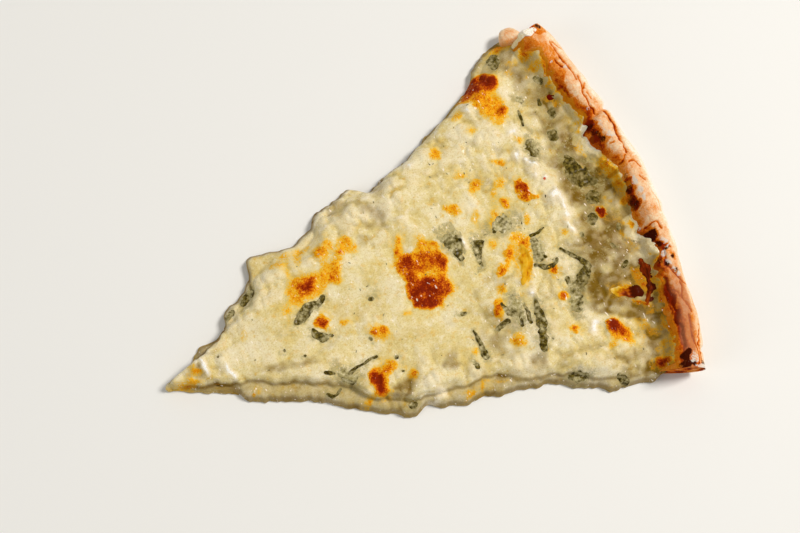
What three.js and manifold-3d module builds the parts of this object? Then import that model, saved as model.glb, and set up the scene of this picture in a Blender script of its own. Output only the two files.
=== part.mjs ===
// One eighth of a large round white pizza: a dough base with a puffed rim, a thick layer of melted cheese
// and cream that runs over both cuts, and pieces of spinach and artichoke lying in the cheese.
//
// Millimetres, +Z up. The slice points along -X, with its tip left of the origin and its rim right of it.
// The origin is on the flat underside, on the slice's centre line, close to where it balances.
import * as THREE from "three";
import { mergeVertices } from "three/addons/utils/BufferGeometryUtils.js";
import Module from "manifold-3d";

const wasm = await Module();
wasm.setup();

// ---------------------------------------------------------------- driving dimensions

const degree = Math.PI / 180;
const clearance = 0.3; // between solids that touch in the real slice

const pie = {
  radius: 262, // centre of the pie to the outside of the rim
  halfAngle: 21.9 * degree, // half of an eighth, less the width of the cut
  tipRadius: 4, // the cutting wheel leaves the last few millimetres blunt
  originRadius: 160,
};

const base = {
  thickness: 4.5,
  reach: 240, // how far the flat base runs in under the rim
};

const rim = {
  crownRadius: 251,
  crownHeight: 22.5,
  waistHeight: 10, // where the outside is widest
  slopeWidth: 17, // from the crown down to the base
  footHeight: 3,
  innerRadius: 228,
  overrun: 2.2 * degree, // modelled past each cut, then cut off
  sections: 56,
};

// Long waves along the rim: how much, how long, and where they start.
const rimWaves = {
  height: [
    { by: 1.3, every: 88, phase: 0.6 },
    { by: 0.7, every: 33, phase: 2.1 },
  ],
  width: [
    { by: 1.0, every: 120, phase: 2.4 },
    { by: 0.6, every: 41, phase: 0.3 },
  ],
  skin: [
    { by: 0.5, every: 19, phase: 1.2 },
    { by: 0.35, every: 11, phase: 4.0 },
  ],
};

// Where the rolled dough was joined, a fold runs across the rim.
const rimFold = { angle: 9.1 * degree, depth: 2.2, width: 2.6 };

// Splits along the rim. around is 0 under the outside, 0.5 near the crown and 1 at the foot of the inner slope.
const rimSplits = [
  { from: 10.2, to: 20.5, around: 0.5, depth: 1.7 },
  { from: 1.5, to: 8.2, around: 0.43, depth: 1.3 },
  { from: -12.5, to: -6.5, around: 0.6, depth: 1.5 },
  { from: -21.5, to: -13.5, around: 0.45, depth: 1.4 },
];
const splitWidth = 0.035;

// A bubble in the dough that stands out of the left cut, next to the rim: out is its centre's distance from the cut.
const doughBubble = { radius: 249, out: 3.5, height: 6.8, acrossCut: 9.5, alongCut: 6.2, halfHeight: 6.3 };

const cheese = {
  level: 13, // top of the cheese above the plate
  tipLevel: 10.2,
  tipRun: 46, // distance over which it thins towards the tip
  noseRadius: 3.4,
  footHeight: 0.4, // underside of what has run down over a cut
  raisedFoot: 2.6, // underside where it stops short of the plate
  edgeRound: 3.2,
  edgeHeight: 1.2, // left upright at its very edge
  cutRound: 3, // how soon its lip on the rim comes down at a cut
  apronHeight: 6.8, // the cheese that has run out past a cut
  apronRound: 5,
  lipWidth: 5,
  spacing: 3.7, // grid of the facets
  rimLip: 2.1, // how thick it is where it ends on the rim's inner slope
  rimLipRound: 2.6,
  dive: 2.4, // past its edge, the top face goes down into the rim
  fitRadius: 205, // from here its rows bend to follow the ragged edge on the rim
};

// The cheese is lower where it meets the rim, and its edge there is ragged: [degrees from the middle, radius].
const trough = { radius: 233, width: 9, depth: 2.6 };
const rimEdge = [
  [-24, 246.5], [-20, 247], [-16, 245.5], [-13.5, 245], [-11, 247.2], [-9.5, 248.6], [-8, 246.6],
  [-5.4, 243.4], [-2, 244.4], [0, 245], [2.4, 247.4], [4.4, 244.6], [6.6, 241.6], [8, 240.6], [9.8, 243.8],
  [13, 243.4], [16, 245.6], [18.6, 247], [20.4, 244.4], [21.2, 245.6], [22, 250],
];

// How far the cheese has run out past each cut: [distance from the pie's centre, millimetres out].
const runOut = {
  left: [
    [-4, 2.6], [8, 1.9], [15, 1.4], [23, 4.6], [32, 2.1], [38, 3.2], [44, 8.6], [54, 8.2], [61, 10.4],
    [67, 17.2], [73, 20.2], [80, 17.6], [88, 10.6], [98, 8.6], [105, 9.4], [112, 13.6], [119, 11.3],
    [131, 10.4], [137, 3], [148, 1.2], [165, 0.2], [186, 2.2], [206, 3], [218, 6], [227, 11.8],
    [240, 12.2], [247, 6.5], [256, 4],
  ],
  right: [
    [-4, 2.4], [8, 2.7], [26, 3.7], [33, 4.6], [38, 8.2], [60, 8.5], [80, 11.4], [96, 14.6], [110, 16.3],
    [116, 19], [121, 17], [126, 12.7], [136, 13.6], [146, 12.6], [154, 8.4], [175, 6.3], [190, 3.6],
    [200, 5.2], [219, 8.3], [229, 4.8], [237, 3.8], [243, 0.2], [250, -1.4],
  ],
};

// Where the top layer itself bends down, past the cut: the same kind of list.
const lipOut = {
  left: [[0, 0.6], [50, 1.5], [73, 9], [92, 2], [112, 6], [128, 4], [140, 0.5], [220, 1.5], [236, 7], [266, 2]],
  right: [[0, 1.4], [60, 0.6], [86, 2], [104, 9], [122, 9.5], [142, 5], [156, 0.6], [230, 0.8], [266, 0]],
};

// Stretches of each cut where the cheese stops short of the plate, and the dough shows under it.
const raisedStretch = {
  left: { from: 137, to: 212 },
  right: { from: 232, to: 270 },
};

// Gentle swell of the whole surface.
const swell = [
  { by: 0.6, every: 47, heading: 20 * degree, phase: 0.3 },
  { by: 0.45, every: 33, heading: 105 * degree, phase: 2.2 },
  { by: 0.3, every: 23, heading: 62 * degree, phase: 4.4 },
];

// Lumps and hollows in the cheese. Most lumps are artichoke and cheese curds under the melted layer.
// along is from the pie's centre along the slice, aside is to its left.
const lumps = [
  { along: 21, aside: 3, height: 2.4, radius: 8 },
  { along: 62, aside: 8, height: 1.3, radius: 13 },
  { along: 79, aside: 18, height: 1.2, radius: 8 },
  { along: 72, aside: 44, height: 2.2, radius: 9 },
  { along: 94, aside: 33, height: 1.2, radius: 9 },
  { along: 115, aside: 42, height: 3.2, radius: 7 },
  { along: 117, aside: 55, height: 2.0, radius: 7 },
  { along: 139, aside: 46, height: 3.4, radius: 8 },
  { along: 135, aside: 30, height: 2.2, radius: 6 },
  { along: 126, aside: 38, height: -2.2, radius: 6 },
  { along: 108, aside: 50, height: -1.6, radius: 5 },
  { along: 136, aside: -2, height: 1.4, radius: 13 },
  { along: 103, aside: -54, height: 2.4, radius: 7 },
  { along: 118, aside: -50, height: 2.2, radius: 8 },
  { along: 158, aside: 56, height: 1.4, radius: 11 },
  { along: 170, aside: 40, height: 1.3, radius: 12 },
  { along: 190, aside: 56, height: 1.5, radius: 10 },
  { along: 204, aside: 80, height: 1.8, radius: 9 },
  { along: 205, aside: 27, height: 2.2, radius: 8 },
  { along: 212, aside: 12, height: 1.8, radius: 7 },
  { along: 188, aside: -35, height: 2.8, radius: 7 },
  { along: 197, aside: -10, height: 1.2, radius: 8 },
  { along: 169, aside: -58, height: -1.2, radius: 8 },
  { along: 172, aside: -64, height: 1.6, radius: 6 },
  { along: 187, aside: -70, height: 1.6, radius: 6 },
  { along: 198, aside: -73, height: 1.6, radius: 7 },
  { along: 211, aside: -62, height: 1.6, radius: 8 },
  { along: 228, aside: -47, height: 1.6, radius: 8 },
];

// Pieces that lie in the cheese and show: place, length, width and heading, and how far they curl sideways.
const leafThickness = 0.8;
const leafLift = 0.4; // over the facets of the cheese
const leafFeel = 1.3; // how far round a point of a leaf the cheese is felt for
const spinach = [
  { along: 75, aside: 6, length: 18, width: 5, heading: 23, curl: 20 },
  { along: 78, aside: -7, length: 9, width: 7, heading: 70, curl: 0 },
  { along: 50, aside: 25, length: 11, width: 5, heading: 35, curl: 0 },
  { along: 90, aside: -29, length: 20, width: 3, heading: 12, curl: 35 },
  { along: 154, aside: 8, length: 13, width: 8, heading: -72, curl: 0 },
  { along: 164, aside: 1, length: 12, width: 7, heading: -50, curl: 25 },
  { along: 184, aside: 9, length: 14, width: 9, heading: -20, curl: 0 },
  { along: 213, aside: 38, length: 12, width: 6, heading: -80, curl: 10 },
  { along: 230, aside: 17, length: 15, width: 8, heading: -75, curl: 0 },
  { along: 228, aside: 0, length: 11, width: 7, heading: -60, curl: 0 },
  { along: 198, aside: -12, length: 15, width: 9, heading: -55, curl: 20 },
  { along: 207, aside: -33, length: 26, width: 6, heading: -112, curl: 45 },
  { along: 161, aside: -39, length: 14, width: 6, heading: 20, curl: 25 },
  { along: 175, aside: -41, length: 11, width: 7, heading: -60, curl: 0 },
  { along: 177, aside: -57, length: 16, width: 5, heading: -88, curl: 10 },
  { along: 147, aside: -43, length: 15, width: 4, heading: -80, curl: 15 },
  { along: 212, aside: 89, length: 12, width: 7, heading: -10, curl: 0 },
];
const artichoke = [
  { along: 181, aside: -17, length: 20, width: 6, heading: -118, curl: -70 },
  { along: 230, aside: -46, length: 19, width: 8, heading: -75, curl: 50 },
];
const leafSpokes = 12;
const leafRings = 2;

// ---------------------------------------------------------------- small helpers

// A sum of sine waves at a place.
function waves(list, place) {
  return list.reduce((sum, w) => sum + w.by * Math.sin((2 * Math.PI * place) / w.every + w.phase), 0);
}

function smoothStep(t) {
  const x = Math.min(1, Math.max(0, t));
  return x * x * (3 - 2 * x);
}

// 0 at the edge, rising to 1 as a quarter of an ellipse.
function roundedEdge(t) {
  const x = Math.min(1, Math.max(0, t));
  return Math.sqrt(1 - (1 - x) ** 2);
}

// Reads a list of [place, value] with an eased curve between its points.
function between(list, place) {
  if (place <= list[0][0]) return list[0][1];
  const i = list.findIndex(([p]) => p >= place);
  if (i < 0) return list[list.length - 1][1];
  const [[p0, v0], [p1, v1]] = [list[i - 1], list[i]];
  return v0 + (v1 - v0) * smoothStep((place - p0) / (p1 - p0));
}

// The part's frame from a place on the pie.
function inFrame(along, aside, z) {
  return new THREE.Vector3(along - pie.originRadius, aside, z);
}

// A closed body from vertices and triangles, as a manifold-3d solid.
function solidOf(geometry) {
  const bare = new THREE.BufferGeometry().setAttribute("position", geometry.getAttribute("position"));
  if (geometry.index) bare.setIndex(geometry.index);
  const merged = mergeVertices(bare, 1e-3);
  return new wasm.Manifold(
    new wasm.Mesh({
      numProp: 3,
      vertProperties: merged.getAttribute("position").array,
      triVerts: new Uint32Array(merged.index.array),
    }),
  );
}

function geometryFrom(points, triangles) {
  return new THREE.BufferGeometry().setFromPoints(points).setIndex(triangles);
}

// The largest body of a solid as a geometry, without the loose scraps that a cut can leave.
function largestBody(solid) {
  const bodies = solid.decompose().sort((a, b) => b.volume() - a.volume());
  const mesh = bodies[0].getMesh();
  return new THREE.BufferGeometry()
    .setAttribute("position", new THREE.BufferAttribute(new Float32Array(mesh.vertProperties), 3))
    .setIndex(new THREE.BufferAttribute(new Uint32Array(mesh.triVerts), 1));
}

// ---------------------------------------------------------------- dough

// The rim's own size where it crosses an angle.
function rimAt(angle) {
  const place = angle * pie.radius;
  const width = waves(rimWaves.width, place);
  return {
    crownRadius: rim.crownRadius + 0.5 * width,
    crownHeight: rim.crownHeight + waves(rimWaves.height, place),
    outside: pie.radius - rim.crownRadius + 0.5 * width,
  };
}

// Height of the dough's top face on the flat base and up the rim's inner slope.
function doughTop(radius, angle) {
  const { crownRadius, crownHeight } = rimAt(angle);
  const up = 1 - (crownRadius - radius) / rim.slopeWidth;
  const slope = rim.footHeight + (crownHeight - rim.footHeight) * (0.5 - 0.5 * Math.cos(Math.PI * Math.min(1, up)));
  return up <= 0 ? base.thickness : Math.max(base.thickness, slope);
}

// How deep the skin is pressed in at a point of the rim, by its fold, its splits and its own unevenness.
function rimRelief(angle, around) {
  const place = angle * pie.radius;
  const overTop = smoothStep(around / 0.25);
  const fold = rimFold.depth * Math.exp(-((((angle - rimFold.angle) * pie.radius) / rimFold.width) ** 2));
  const splits = rimSplits.reduce((deepest, s) => {
    const along = (angle / degree - s.from) / (s.to - s.from);
    const fade = smoothStep(along / 0.2) * smoothStep((1 - along) / 0.2);
    const wander = s.around + 0.03 * Math.sin(place / 5.5 + s.from);
    return Math.max(deepest, s.depth * fade * Math.exp(-(((around - wander) / splitWidth) ** 2)));
  }, 0);
  const skin = waves(rimWaves.skin, place + 24 * around) * Math.sin(Math.PI * around);
  return (fold + splits) * overTop - skin;
}

// The rim's section at an angle, as [radius, height] in order round it, all of it pushed out by grow.
function rimSection(angle, grow) {
  const { crownRadius, crownHeight, outside } = rimAt(angle);
  const low = -grow * 3;
  const section = [[rim.innerRadius - grow, low]];
  const arcSteps = 11;
  const slopeSteps = 8;
  for (let i = 0; i <= arcSteps; i++) {
    const turn = (-76 + (166 * i) / arcSteps) * degree;
    const rise = turn < 0 ? rim.waistHeight : crownHeight - rim.waistHeight;
    const dent = rimRelief(angle, (0.5 * i) / arcSteps);
    section.push([
      crownRadius + (outside + grow - dent) * Math.cos(turn),
      Math.max(low, rim.waistHeight + (rise + grow - dent) * Math.sin(turn)),
    ]);
  }
  for (let i = 1; i <= slopeSteps; i++) {
    const down = i / slopeSteps;
    const dent = rimRelief(angle, 0.5 + 0.5 * down) * (1 - down);
    section.push([
      crownRadius - rim.slopeWidth * down - grow * Math.sin(Math.PI * down),
      rim.footHeight + (crownHeight - rim.footHeight) * (0.5 + 0.5 * Math.cos(Math.PI * down)) + grow - dent,
    ]);
  }
  section.push([rim.innerRadius - grow, rim.footHeight - 1]);
  return section;
}

// The rim as its section swept round the pie, with a flat end at each side.
function rimSolid(grow) {
  const reach = pie.halfAngle + rim.overrun;
  const points = [];
  const triangles = [];
  let corners = 0;
  for (let i = 0; i <= rim.sections; i++) {
    const angle = -reach + (2 * reach * i) / rim.sections;
    const section = rimSection(angle, grow);
    corners = section.length;
    for (const [r, z] of section) points.push(inFrame(r * Math.cos(angle), r * Math.sin(angle), z));
  }
  for (let i = 0; i < rim.sections; i++) {
    for (let j = 0; j < corners; j++) {
      const a = i * corners + j;
      const b = i * corners + ((j + 1) % corners);
      triangles.push(a, b, b + corners, a, b + corners, a + corners);
    }
  }
  for (const [first, flip] of [[0, false], [rim.sections * corners, true]]) {
    const angle = flip ? reach : -reach;
    const outline = rimSection(angle, grow).map(([r, z]) => new THREE.Vector2(r, z));
    for (const [a, b, c] of THREE.ShapeUtils.triangulateShape(outline, [])) {
      triangles.push(first + a, first + (flip ? b : c), first + (flip ? c : b));
    }
  }
  return outward(solidOf(geometryFrom(points, triangles)), points, triangles);
}

// The same solid with its faces pointing out.
function outward(solid, points, triangles) {
  if (solid.volume() > 0) return solid;
  const turned = [];
  for (let i = 0; i < triangles.length; i += 3) turned.push(triangles[i], triangles[i + 2], triangles[i + 1]);
  return solidOf(geometryFrom(points, turned));
}

// A flat plate of the given plan, from one height to another.
function plate(plan, low, high) {
  const shape = new THREE.Shape(plan.map((p) => new THREE.Vector2(p.x, p.y)));
  const geometry = new THREE.ExtrudeGeometry(shape, { depth: high - low, bevelEnabled: false });
  geometry.translate(0, 0, low);
  return solidOf(geometry);
}

// A sector's plan: two straight sides and an arc.
function sectorPlan(halfAngle, tipRadius, radius, steps, sideShift = 0) {
  const plan = [];
  const put = (r, angle, shift) =>
    plan.push(inFrame(r * Math.cos(angle), r * Math.sin(angle) + shift / Math.cos(halfAngle), 0));
  put(tipRadius, halfAngle, sideShift);
  put(tipRadius, -halfAngle, -sideShift);
  for (let i = 0; i <= steps; i++) {
    const side = (2 * i) / steps - 1;
    put(radius, halfAngle * side, sideShift * side);
  }
  return plan;
}

function bubbleSolid(grow) {
  const { radius, out, height, acrossCut, alongCut, halfHeight } = doughBubble;
  const ball = new THREE.SphereGeometry(1, 18, 12);
  ball.scale(alongCut + grow, acrossCut + grow, halfHeight + grow);
  ball.rotateZ(pie.halfAngle);
  const { along, aside } = planPoint(radius, radius * pie.halfAngle + out);
  ball.translate(along - pie.originRadius, aside, height);
  return solidOf(ball);
}

// The whole dough: base and rim cut out of the pie by the two cuts, and the torn bubble beside it.
// With grow it is the room that the cheese has to leave.
function doughSolid(grow = 0) {
  const low = -grow * 3;
  const wide = pie.halfAngle + rim.overrun * 0.9;
  const flat = plate(sectorPlan(wide, pie.tipRadius * 0.2, base.reach, 24), low, base.thickness + grow);
  const cuts = plate(
    sectorPlan(pie.halfAngle, pie.tipRadius - grow, pie.radius + 30, 1, grow),
    low - 1,
    rim.crownHeight + 20,
  );
  return flat.add(rimSolid(grow)).intersect(cuts).add(bubbleSolid(grow));
}

// ---------------------------------------------------------------- cheese

function rimEdgeRadius(angle) {
  return between(rimEdge, angle / degree);
}

// A point of the cheese's plan: distance from the pie's centre and sideways distance along that arc.
// Past a cut it goes straight out from the cut.
function planPoint(radius, sideways) {
  const halfArc = Math.max(0, radius) * pie.halfAngle;
  const side = Math.sign(sideways);
  const past = Math.abs(sideways) - halfArc;
  const angle = past > 0 ? side * pie.halfAngle : sideways / Math.max(radius, 1e-6);
  const out = Math.max(0, past);
  if (radius <= 0) return { along: radius, aside: sideways, angle: 0, past };
  return {
    along: radius * Math.cos(angle) - out * Math.sin(pie.halfAngle),
    aside: radius * Math.sin(angle) + side * out * Math.cos(pie.halfAngle),
    angle,
    past,
  };
}

// Half width of the cheese on each side at a distance from the pie's centre, measured along the arc.
function halfWidth(radius, side) {
  const out = between(runOut[side], radius);
  if (radius > 0) return radius * pie.halfAngle + out;
  return out * Math.sqrt(Math.max(0.02, 1 - (radius / cheese.noseRadius) ** 2));
}

// Height of the cheese before it bends down at its edges.
function cheeseLevel(along, aside) {
  const thin = cheese.tipLevel - cheese.level;
  const radius = Math.hypot(along, aside);
  const waved = swell.reduce((sum, w) => {
    const place = along * Math.cos(w.heading) + aside * Math.sin(w.heading);
    return sum + w.by * Math.sin((2 * Math.PI * place) / w.every + w.phase);
  }, 0);
  const lumped = lumps.reduce((sum, l) => {
    const away = Math.hypot(along - l.along, aside - l.aside) / l.radius;
    return sum + l.height * Math.exp(-away * away);
  }, 0);
  const tip = thin * Math.exp(-((Math.max(0, radius) / cheese.tipRun) ** 2));
  const dip = trough.depth * Math.exp(-(((radius - trough.radius) / trough.width) ** 2));
  return cheese.level + tip + waved + lumped - dip;
}

// Height of the cheese's top face at a point of its plan.
function cheeseTop(radius, sideways) {
  const { along, aside, angle, past } = planPoint(radius, sideways);
  const side = sideways > 0 ? "left" : "right";
  const inside = halfWidth(radius, side) - Math.abs(sideways);
  const nose = radius + cheese.noseRadius;
  const apron = cheese.apronHeight * roundedEdge(inside / cheese.apronRound);
  const lip = smoothStep((between(lipOut[side], radius) + 1 - past) / cheese.lipWidth);
  const melted = apron + (cheeseLevel(along, aside) - apron) * lip;
  const edge = roundedEdge(Math.min(inside / cheese.edgeRound, nose / (2 * cheese.edgeRound)));
  const low = cheese.footHeight + cheese.edgeHeight;
  return ontoRim(radius, angle, past, low + (melted - low) * edge);
}

// Near the rim the cheese climbs the slope as a thin lip, and past its edge goes down into the dough.
// Past a cut there is no rim to climb, so there it only ends.
function ontoRim(radius, angle, past, flat) {
  const beyond = radius - rimEdgeRadius(angle);
  const lip = cheese.rimLip * roundedEdge(-beyond / cheese.rimLipRound) - 2 * Math.max(0, beyond / cheese.dive);
  const climbing = doughTop(radius, angle) + lip;
  const low = cheese.footHeight + cheese.edgeHeight;
  const ending = low + (flat - low) * roundedEdge(-beyond / cheese.edgeRound);
  const onDough = beyond > -1 ? climbing : Math.max(flat, climbing);
  return ending + (onDough - ending) * smoothStep(-past / cheese.cutRound);
}

// Rows of points across the slice, from the nose to the rim, each from its right edge to its left edge.
function cheeseRows() {
  const first = -cheese.noseRadius + 0.1;
  const middle = rimEdgeRadius(0);
  const last = middle + cheese.dive;
  const count = Math.round((last - first) / cheese.spacing);
  const rows = [];
  for (let i = 0; i <= count; i++) {
    const radius = first + ((last - first) * i) / count;
    const right = halfWidth(radius, "right");
    const left = halfWidth(radius, "left");
    const steps = Math.max(2, Math.round((right + left) / cheese.spacing));
    const row = [];
    for (let j = 0; j <= steps; j++) {
      const sideways = -right + ((right + left) * j) / steps;
      const follow = smoothStep((radius - cheese.fitRadius) / (middle - cheese.fitRadius));
      const fitted = radius + follow * (rimEdgeRadius(planPoint(radius, sideways).angle) - middle);
      const scaled = follow > 0 ? (sideways * fitted) / radius : sideways;
      const { along, aside } = planPoint(fitted, scaled);
      row.push(inFrame(along, aside, cheeseTop(fitted, scaled)));
    }
    rows.push(row);
  }
  return rows;
}

// Height of the underside of what has run over a cut.
function footHeight(radius, side) {
  const { from, to } = raisedStretch[side];
  const raised = smoothStep((radius - from) / 10) * smoothStep((to - radius) / 10);
  return cheese.footHeight + (cheese.raisedFoot - cheese.footHeight) * raised;
}

// The melted layer as one body that fills the dough's place too: top rows zipped together, a wall, and a floor.
function cheeseBlob() {
  const rows = cheeseRows();
  const points = rows.flat();
  const starts = rows.map((_, i) => rows.slice(0, i).reduce((sum, row) => sum + row.length, 0));
  const triangles = [];
  for (let i = 0; i + 1 < rows.length; i++) {
    const [near, far] = [rows[i].length - 1, rows[i + 1].length - 1];
    let a = 0;
    let b = 0;
    while (a < near || b < far) {
      const stepNear = b === far || (a < near && (a + 1) / near <= (b + 1) / far);
      const [p, q] = [starts[i] + a, starts[i + 1] + b];
      triangles.push(p, q, stepNear ? p + 1 : q + 1);
      if (stepNear) a++;
      else b++;
    }
  }
  const lastRow = rows.length - 1;
  const border = [
    ...rows.map((_, i) => starts[i]),
    ...rows[lastRow].slice(1).map((_, j) => starts[lastRow] + 1 + j),
    ...rows.slice(0, -1).map((_, i) => starts[i] + rows[i].length - 1).reverse(),
    ...rows[0].slice(1, -1).map((_, j) => starts[0] + 1 + j).reverse(),
  ];
  const under = points.length;
  for (const index of border) {
    const p = points[index];
    const radius = Math.hypot(p.x + pie.originRadius, p.y);
    points.push(new THREE.Vector3(p.x, p.y, footHeight(radius, p.y > 0 ? "left" : "right")));
  }
  border.forEach((p, i) => {
    const next = (i + 1) % border.length;
    triangles.push(under + i, under + next, border[next], under + i, border[next], p);
  });
  const floorPlan = border.map((index) => new THREE.Vector2(points[index].x, points[index].y));
  for (const [a, b, c] of THREE.ShapeUtils.triangulateShape(floorPlan, [])) {
    triangles.push(under + a, under + c, under + b);
  }
  return outward(solidOf(geometryFrom(points, triangles)), points, triangles);
}

// ---------------------------------------------------------------- leaves

// A thin wavy piece that follows the cheese under it: rings of points about its middle, the same on both faces.
function leafGeometry(piece, order, groundAt) {
  const heading = piece.heading * degree;
  const place = (along, aside) => {
    const turn = (piece.curl * degree * along) / (piece.length / 2);
    const bentAlong = piece.curl ? (Math.sin(turn / 2) * piece.length) / (piece.curl * degree) : along;
    const bentAside = aside + along * Math.sin(turn / 2) * 0.5;
    return inFrame(
      piece.along + bentAlong * Math.cos(heading) - bentAside * Math.sin(heading),
      piece.aside + bentAlong * Math.sin(heading) + bentAside * Math.cos(heading),
      0,
    );
  };
  const low = [];
  const high = [];
  const put = (along, aside, wave) => {
    const p = place(along, aside);
    p.z = groundAt(p.x, p.y) + leafLift + wave;
    low.push(p);
    high.push(new THREE.Vector3(p.x, p.y, p.z + leafThickness));
  };
  put(0, 0, 0.2);
  for (let ring = 1; ring <= leafRings; ring++) {
    for (let spoke = 0; spoke < leafSpokes; spoke++) {
      const turn = (2 * Math.PI * spoke) / leafSpokes;
      const ragged = 1 + 0.14 * Math.sin(3 * turn + order) + 0.1 * Math.sin(5 * turn + 2 * order);
      const out = (ring / leafRings) * ragged;
      const wave = 0.25 + 0.25 * Math.sin(2 * turn + order) * (ring / leafRings);
      put((piece.length / 2) * out * Math.cos(turn), (piece.width / 2) * out * Math.sin(turn), wave);
    }
  }
  const count = low.length;
  const triangles = [];
  const face = (a, b, c) => triangles.push(count + a, count + b, count + c, a, c, b);
  for (let spoke = 0; spoke < leafSpokes; spoke++) {
    const next = (spoke + 1) % leafSpokes;
    face(0, 1 + spoke, 1 + next);
    for (let ring = 1; ring < leafRings; ring++) {
      const [inner, outer] = [1 + (ring - 1) * leafSpokes, 1 + ring * leafSpokes];
      face(inner + spoke, outer + spoke, outer + next);
      face(inner + spoke, outer + next, inner + next);
    }
    const edge = 1 + (leafRings - 1) * leafSpokes;
    const [a, b] = [edge + spoke, edge + next];
    triangles.push(a, b, count + b, a, count + b, count + a);
  }
  return geometryFrom([...low, ...high], triangles);
}

// Height of the highest face at a place and close round it.
function heightOver(meshes) {
  const caster = new THREE.Raycaster();
  const down = new THREE.Vector3(0, 0, -1);
  const around = [[0, 0], [1, 0], [0, 1], [-1, 0], [0, -1]];
  return (x, y) => {
    const heights = around.map(([dx, dy]) => {
      caster.set(new THREE.Vector3(x + dx * leafFeel, y + dy * leafFeel, 100), down);
      const [hit] = caster.intersectObjects(meshes);
      return hit ? hit.point.z : 0;
    });
    return Math.max(...heights);
  };
}

// ---------------------------------------------------------------- the slice

const finishes = {
  crust: { color: 0xd08a52, roughness: 0.8 },
  cheese: { color: 0xdccb8f, roughness: 0.4 },
  spinach: { color: 0x55572c, roughness: 0.55 },
  artichoke: { color: 0xd29a2a, roughness: 0.45 },
};

function named(name, geometry, finish) {
  const mesh = new THREE.Mesh(geometry, new THREE.MeshStandardMaterial({ ...finishes[finish], metalness: 0 }));
  mesh.name = name;
  return mesh;
}

const crustMesh = named("crust", largestBody(doughSolid()), "crust");
const cheeseMesh = named("cheese", largestBody(cheeseBlob().subtract(doughSolid(clearance))), "cheese");

const slice = new THREE.Group();
slice.add(crustMesh, cheeseMesh);

const groundAt = heightOver([crustMesh, cheeseMesh]);
for (const [kind, pieces] of Object.entries({ spinach, artichoke })) {
  pieces.forEach((piece, i) => {
    const name = `${kind}_${String(i + 1).padStart(2, "0")}`;
    slice.add(named(name, leafGeometry(piece, i + 1, groundAt), kind));
  });
}

export default slice;
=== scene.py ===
import math

import bpy
import numpy as np
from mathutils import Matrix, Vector


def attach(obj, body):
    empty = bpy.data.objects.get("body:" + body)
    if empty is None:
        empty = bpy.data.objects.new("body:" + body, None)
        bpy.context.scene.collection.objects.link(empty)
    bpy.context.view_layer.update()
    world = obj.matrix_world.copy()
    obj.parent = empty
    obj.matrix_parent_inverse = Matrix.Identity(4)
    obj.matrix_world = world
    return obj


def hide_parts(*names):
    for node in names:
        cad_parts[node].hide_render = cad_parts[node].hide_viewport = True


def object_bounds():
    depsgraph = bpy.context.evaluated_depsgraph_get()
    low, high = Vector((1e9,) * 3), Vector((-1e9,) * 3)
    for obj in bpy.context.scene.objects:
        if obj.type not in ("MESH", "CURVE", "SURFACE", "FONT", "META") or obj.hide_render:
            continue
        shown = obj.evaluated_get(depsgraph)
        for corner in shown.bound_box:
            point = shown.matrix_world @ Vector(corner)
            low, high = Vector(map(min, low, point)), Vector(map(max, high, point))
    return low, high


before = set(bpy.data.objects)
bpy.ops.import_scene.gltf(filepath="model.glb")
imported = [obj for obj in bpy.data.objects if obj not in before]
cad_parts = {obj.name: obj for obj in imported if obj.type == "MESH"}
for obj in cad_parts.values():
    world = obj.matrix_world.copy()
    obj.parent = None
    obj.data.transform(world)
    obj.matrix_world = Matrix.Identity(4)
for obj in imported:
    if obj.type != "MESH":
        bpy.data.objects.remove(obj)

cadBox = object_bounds()
print("frame loaded: the solids measure", [round(1000 * (high - low)) for low, high in zip(*cadBox)], "mm")

# Lengths are in millimetres until a mesh is made. "along" runs from the pie's centre down the middle of
# the slice to its rim, "aside" is to the left of that line, and "up" is above the plate.

pie = {
    "radius": 262.0,
    "halfAngle": math.radians(21.9),
    "originRadius": 160.0,  # the frame's origin lies this far from the pie's centre
}


# The camera's angles are in degrees, and its target and distance in millimetres from the frame's origin.
camera = {
    "elevation": 77.0,
    "azimuth": -23.46,
    "distance": 548.2,
    "target": (-33.9, 8.2, 15.0),
    "lens": 50.0,
    "sensor": 36.0,
}


def viewAxes():
    azimuth, elevation = math.radians(camera["azimuth"]), math.radians(camera["elevation"])
    right = Vector((math.cos(azimuth), math.sin(azimuth), 0.0))
    back = Vector((math.sin(azimuth) * math.cos(elevation), -math.cos(azimuth) * math.cos(elevation),
                   math.sin(elevation)))
    return right, back.cross(right), back


def aimed(thing, place, target):
    thing.location = place
    thing.rotation_euler = (target - place).to_track_quat("-Z", "Y").to_euler()
    bpy.context.scene.collection.objects.link(thing)
    return thing


def addCamera():
    data = bpy.data.cameras.new("sliceCamera")
    data.lens, data.sensor_width = camera["lens"], camera["sensor"]
    target = Vector(camera["target"]) / 1000
    place = target + viewAxes()[2] * camera["distance"] / 1000
    bpy.context.scene.camera = aimed(bpy.data.objects.new("sliceCamera", data), place, target)


# Each light hangs in the direction given as right, up and towards the camera, seen through the camera.
lights = {
    "windowLight": {"towards": (0.84, 0.54, 1.06), "distance": 2.4, "size": 0.5, "watts": 46.0,
                    "colour": "#fffaf2"},
    "wallFill": {"towards": (-1.0, -0.3, 0.62), "distance": 2.0, "size": 1.2, "watts": 9.0,
                 "colour": "#fcf9f2"},
}
surround = {"colour": "#f8f7f2", "strength": 0.35}


def toLinear(hexColour):
    def channel(c):
        c /= 255
        return c / 12.92 if c <= 0.04045 else ((c + 0.055) / 1.055) ** 2.4
    return tuple(channel(int(hexColour[i:i + 2], 16)) for i in (1, 3, 5)) + (1.0,)


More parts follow.
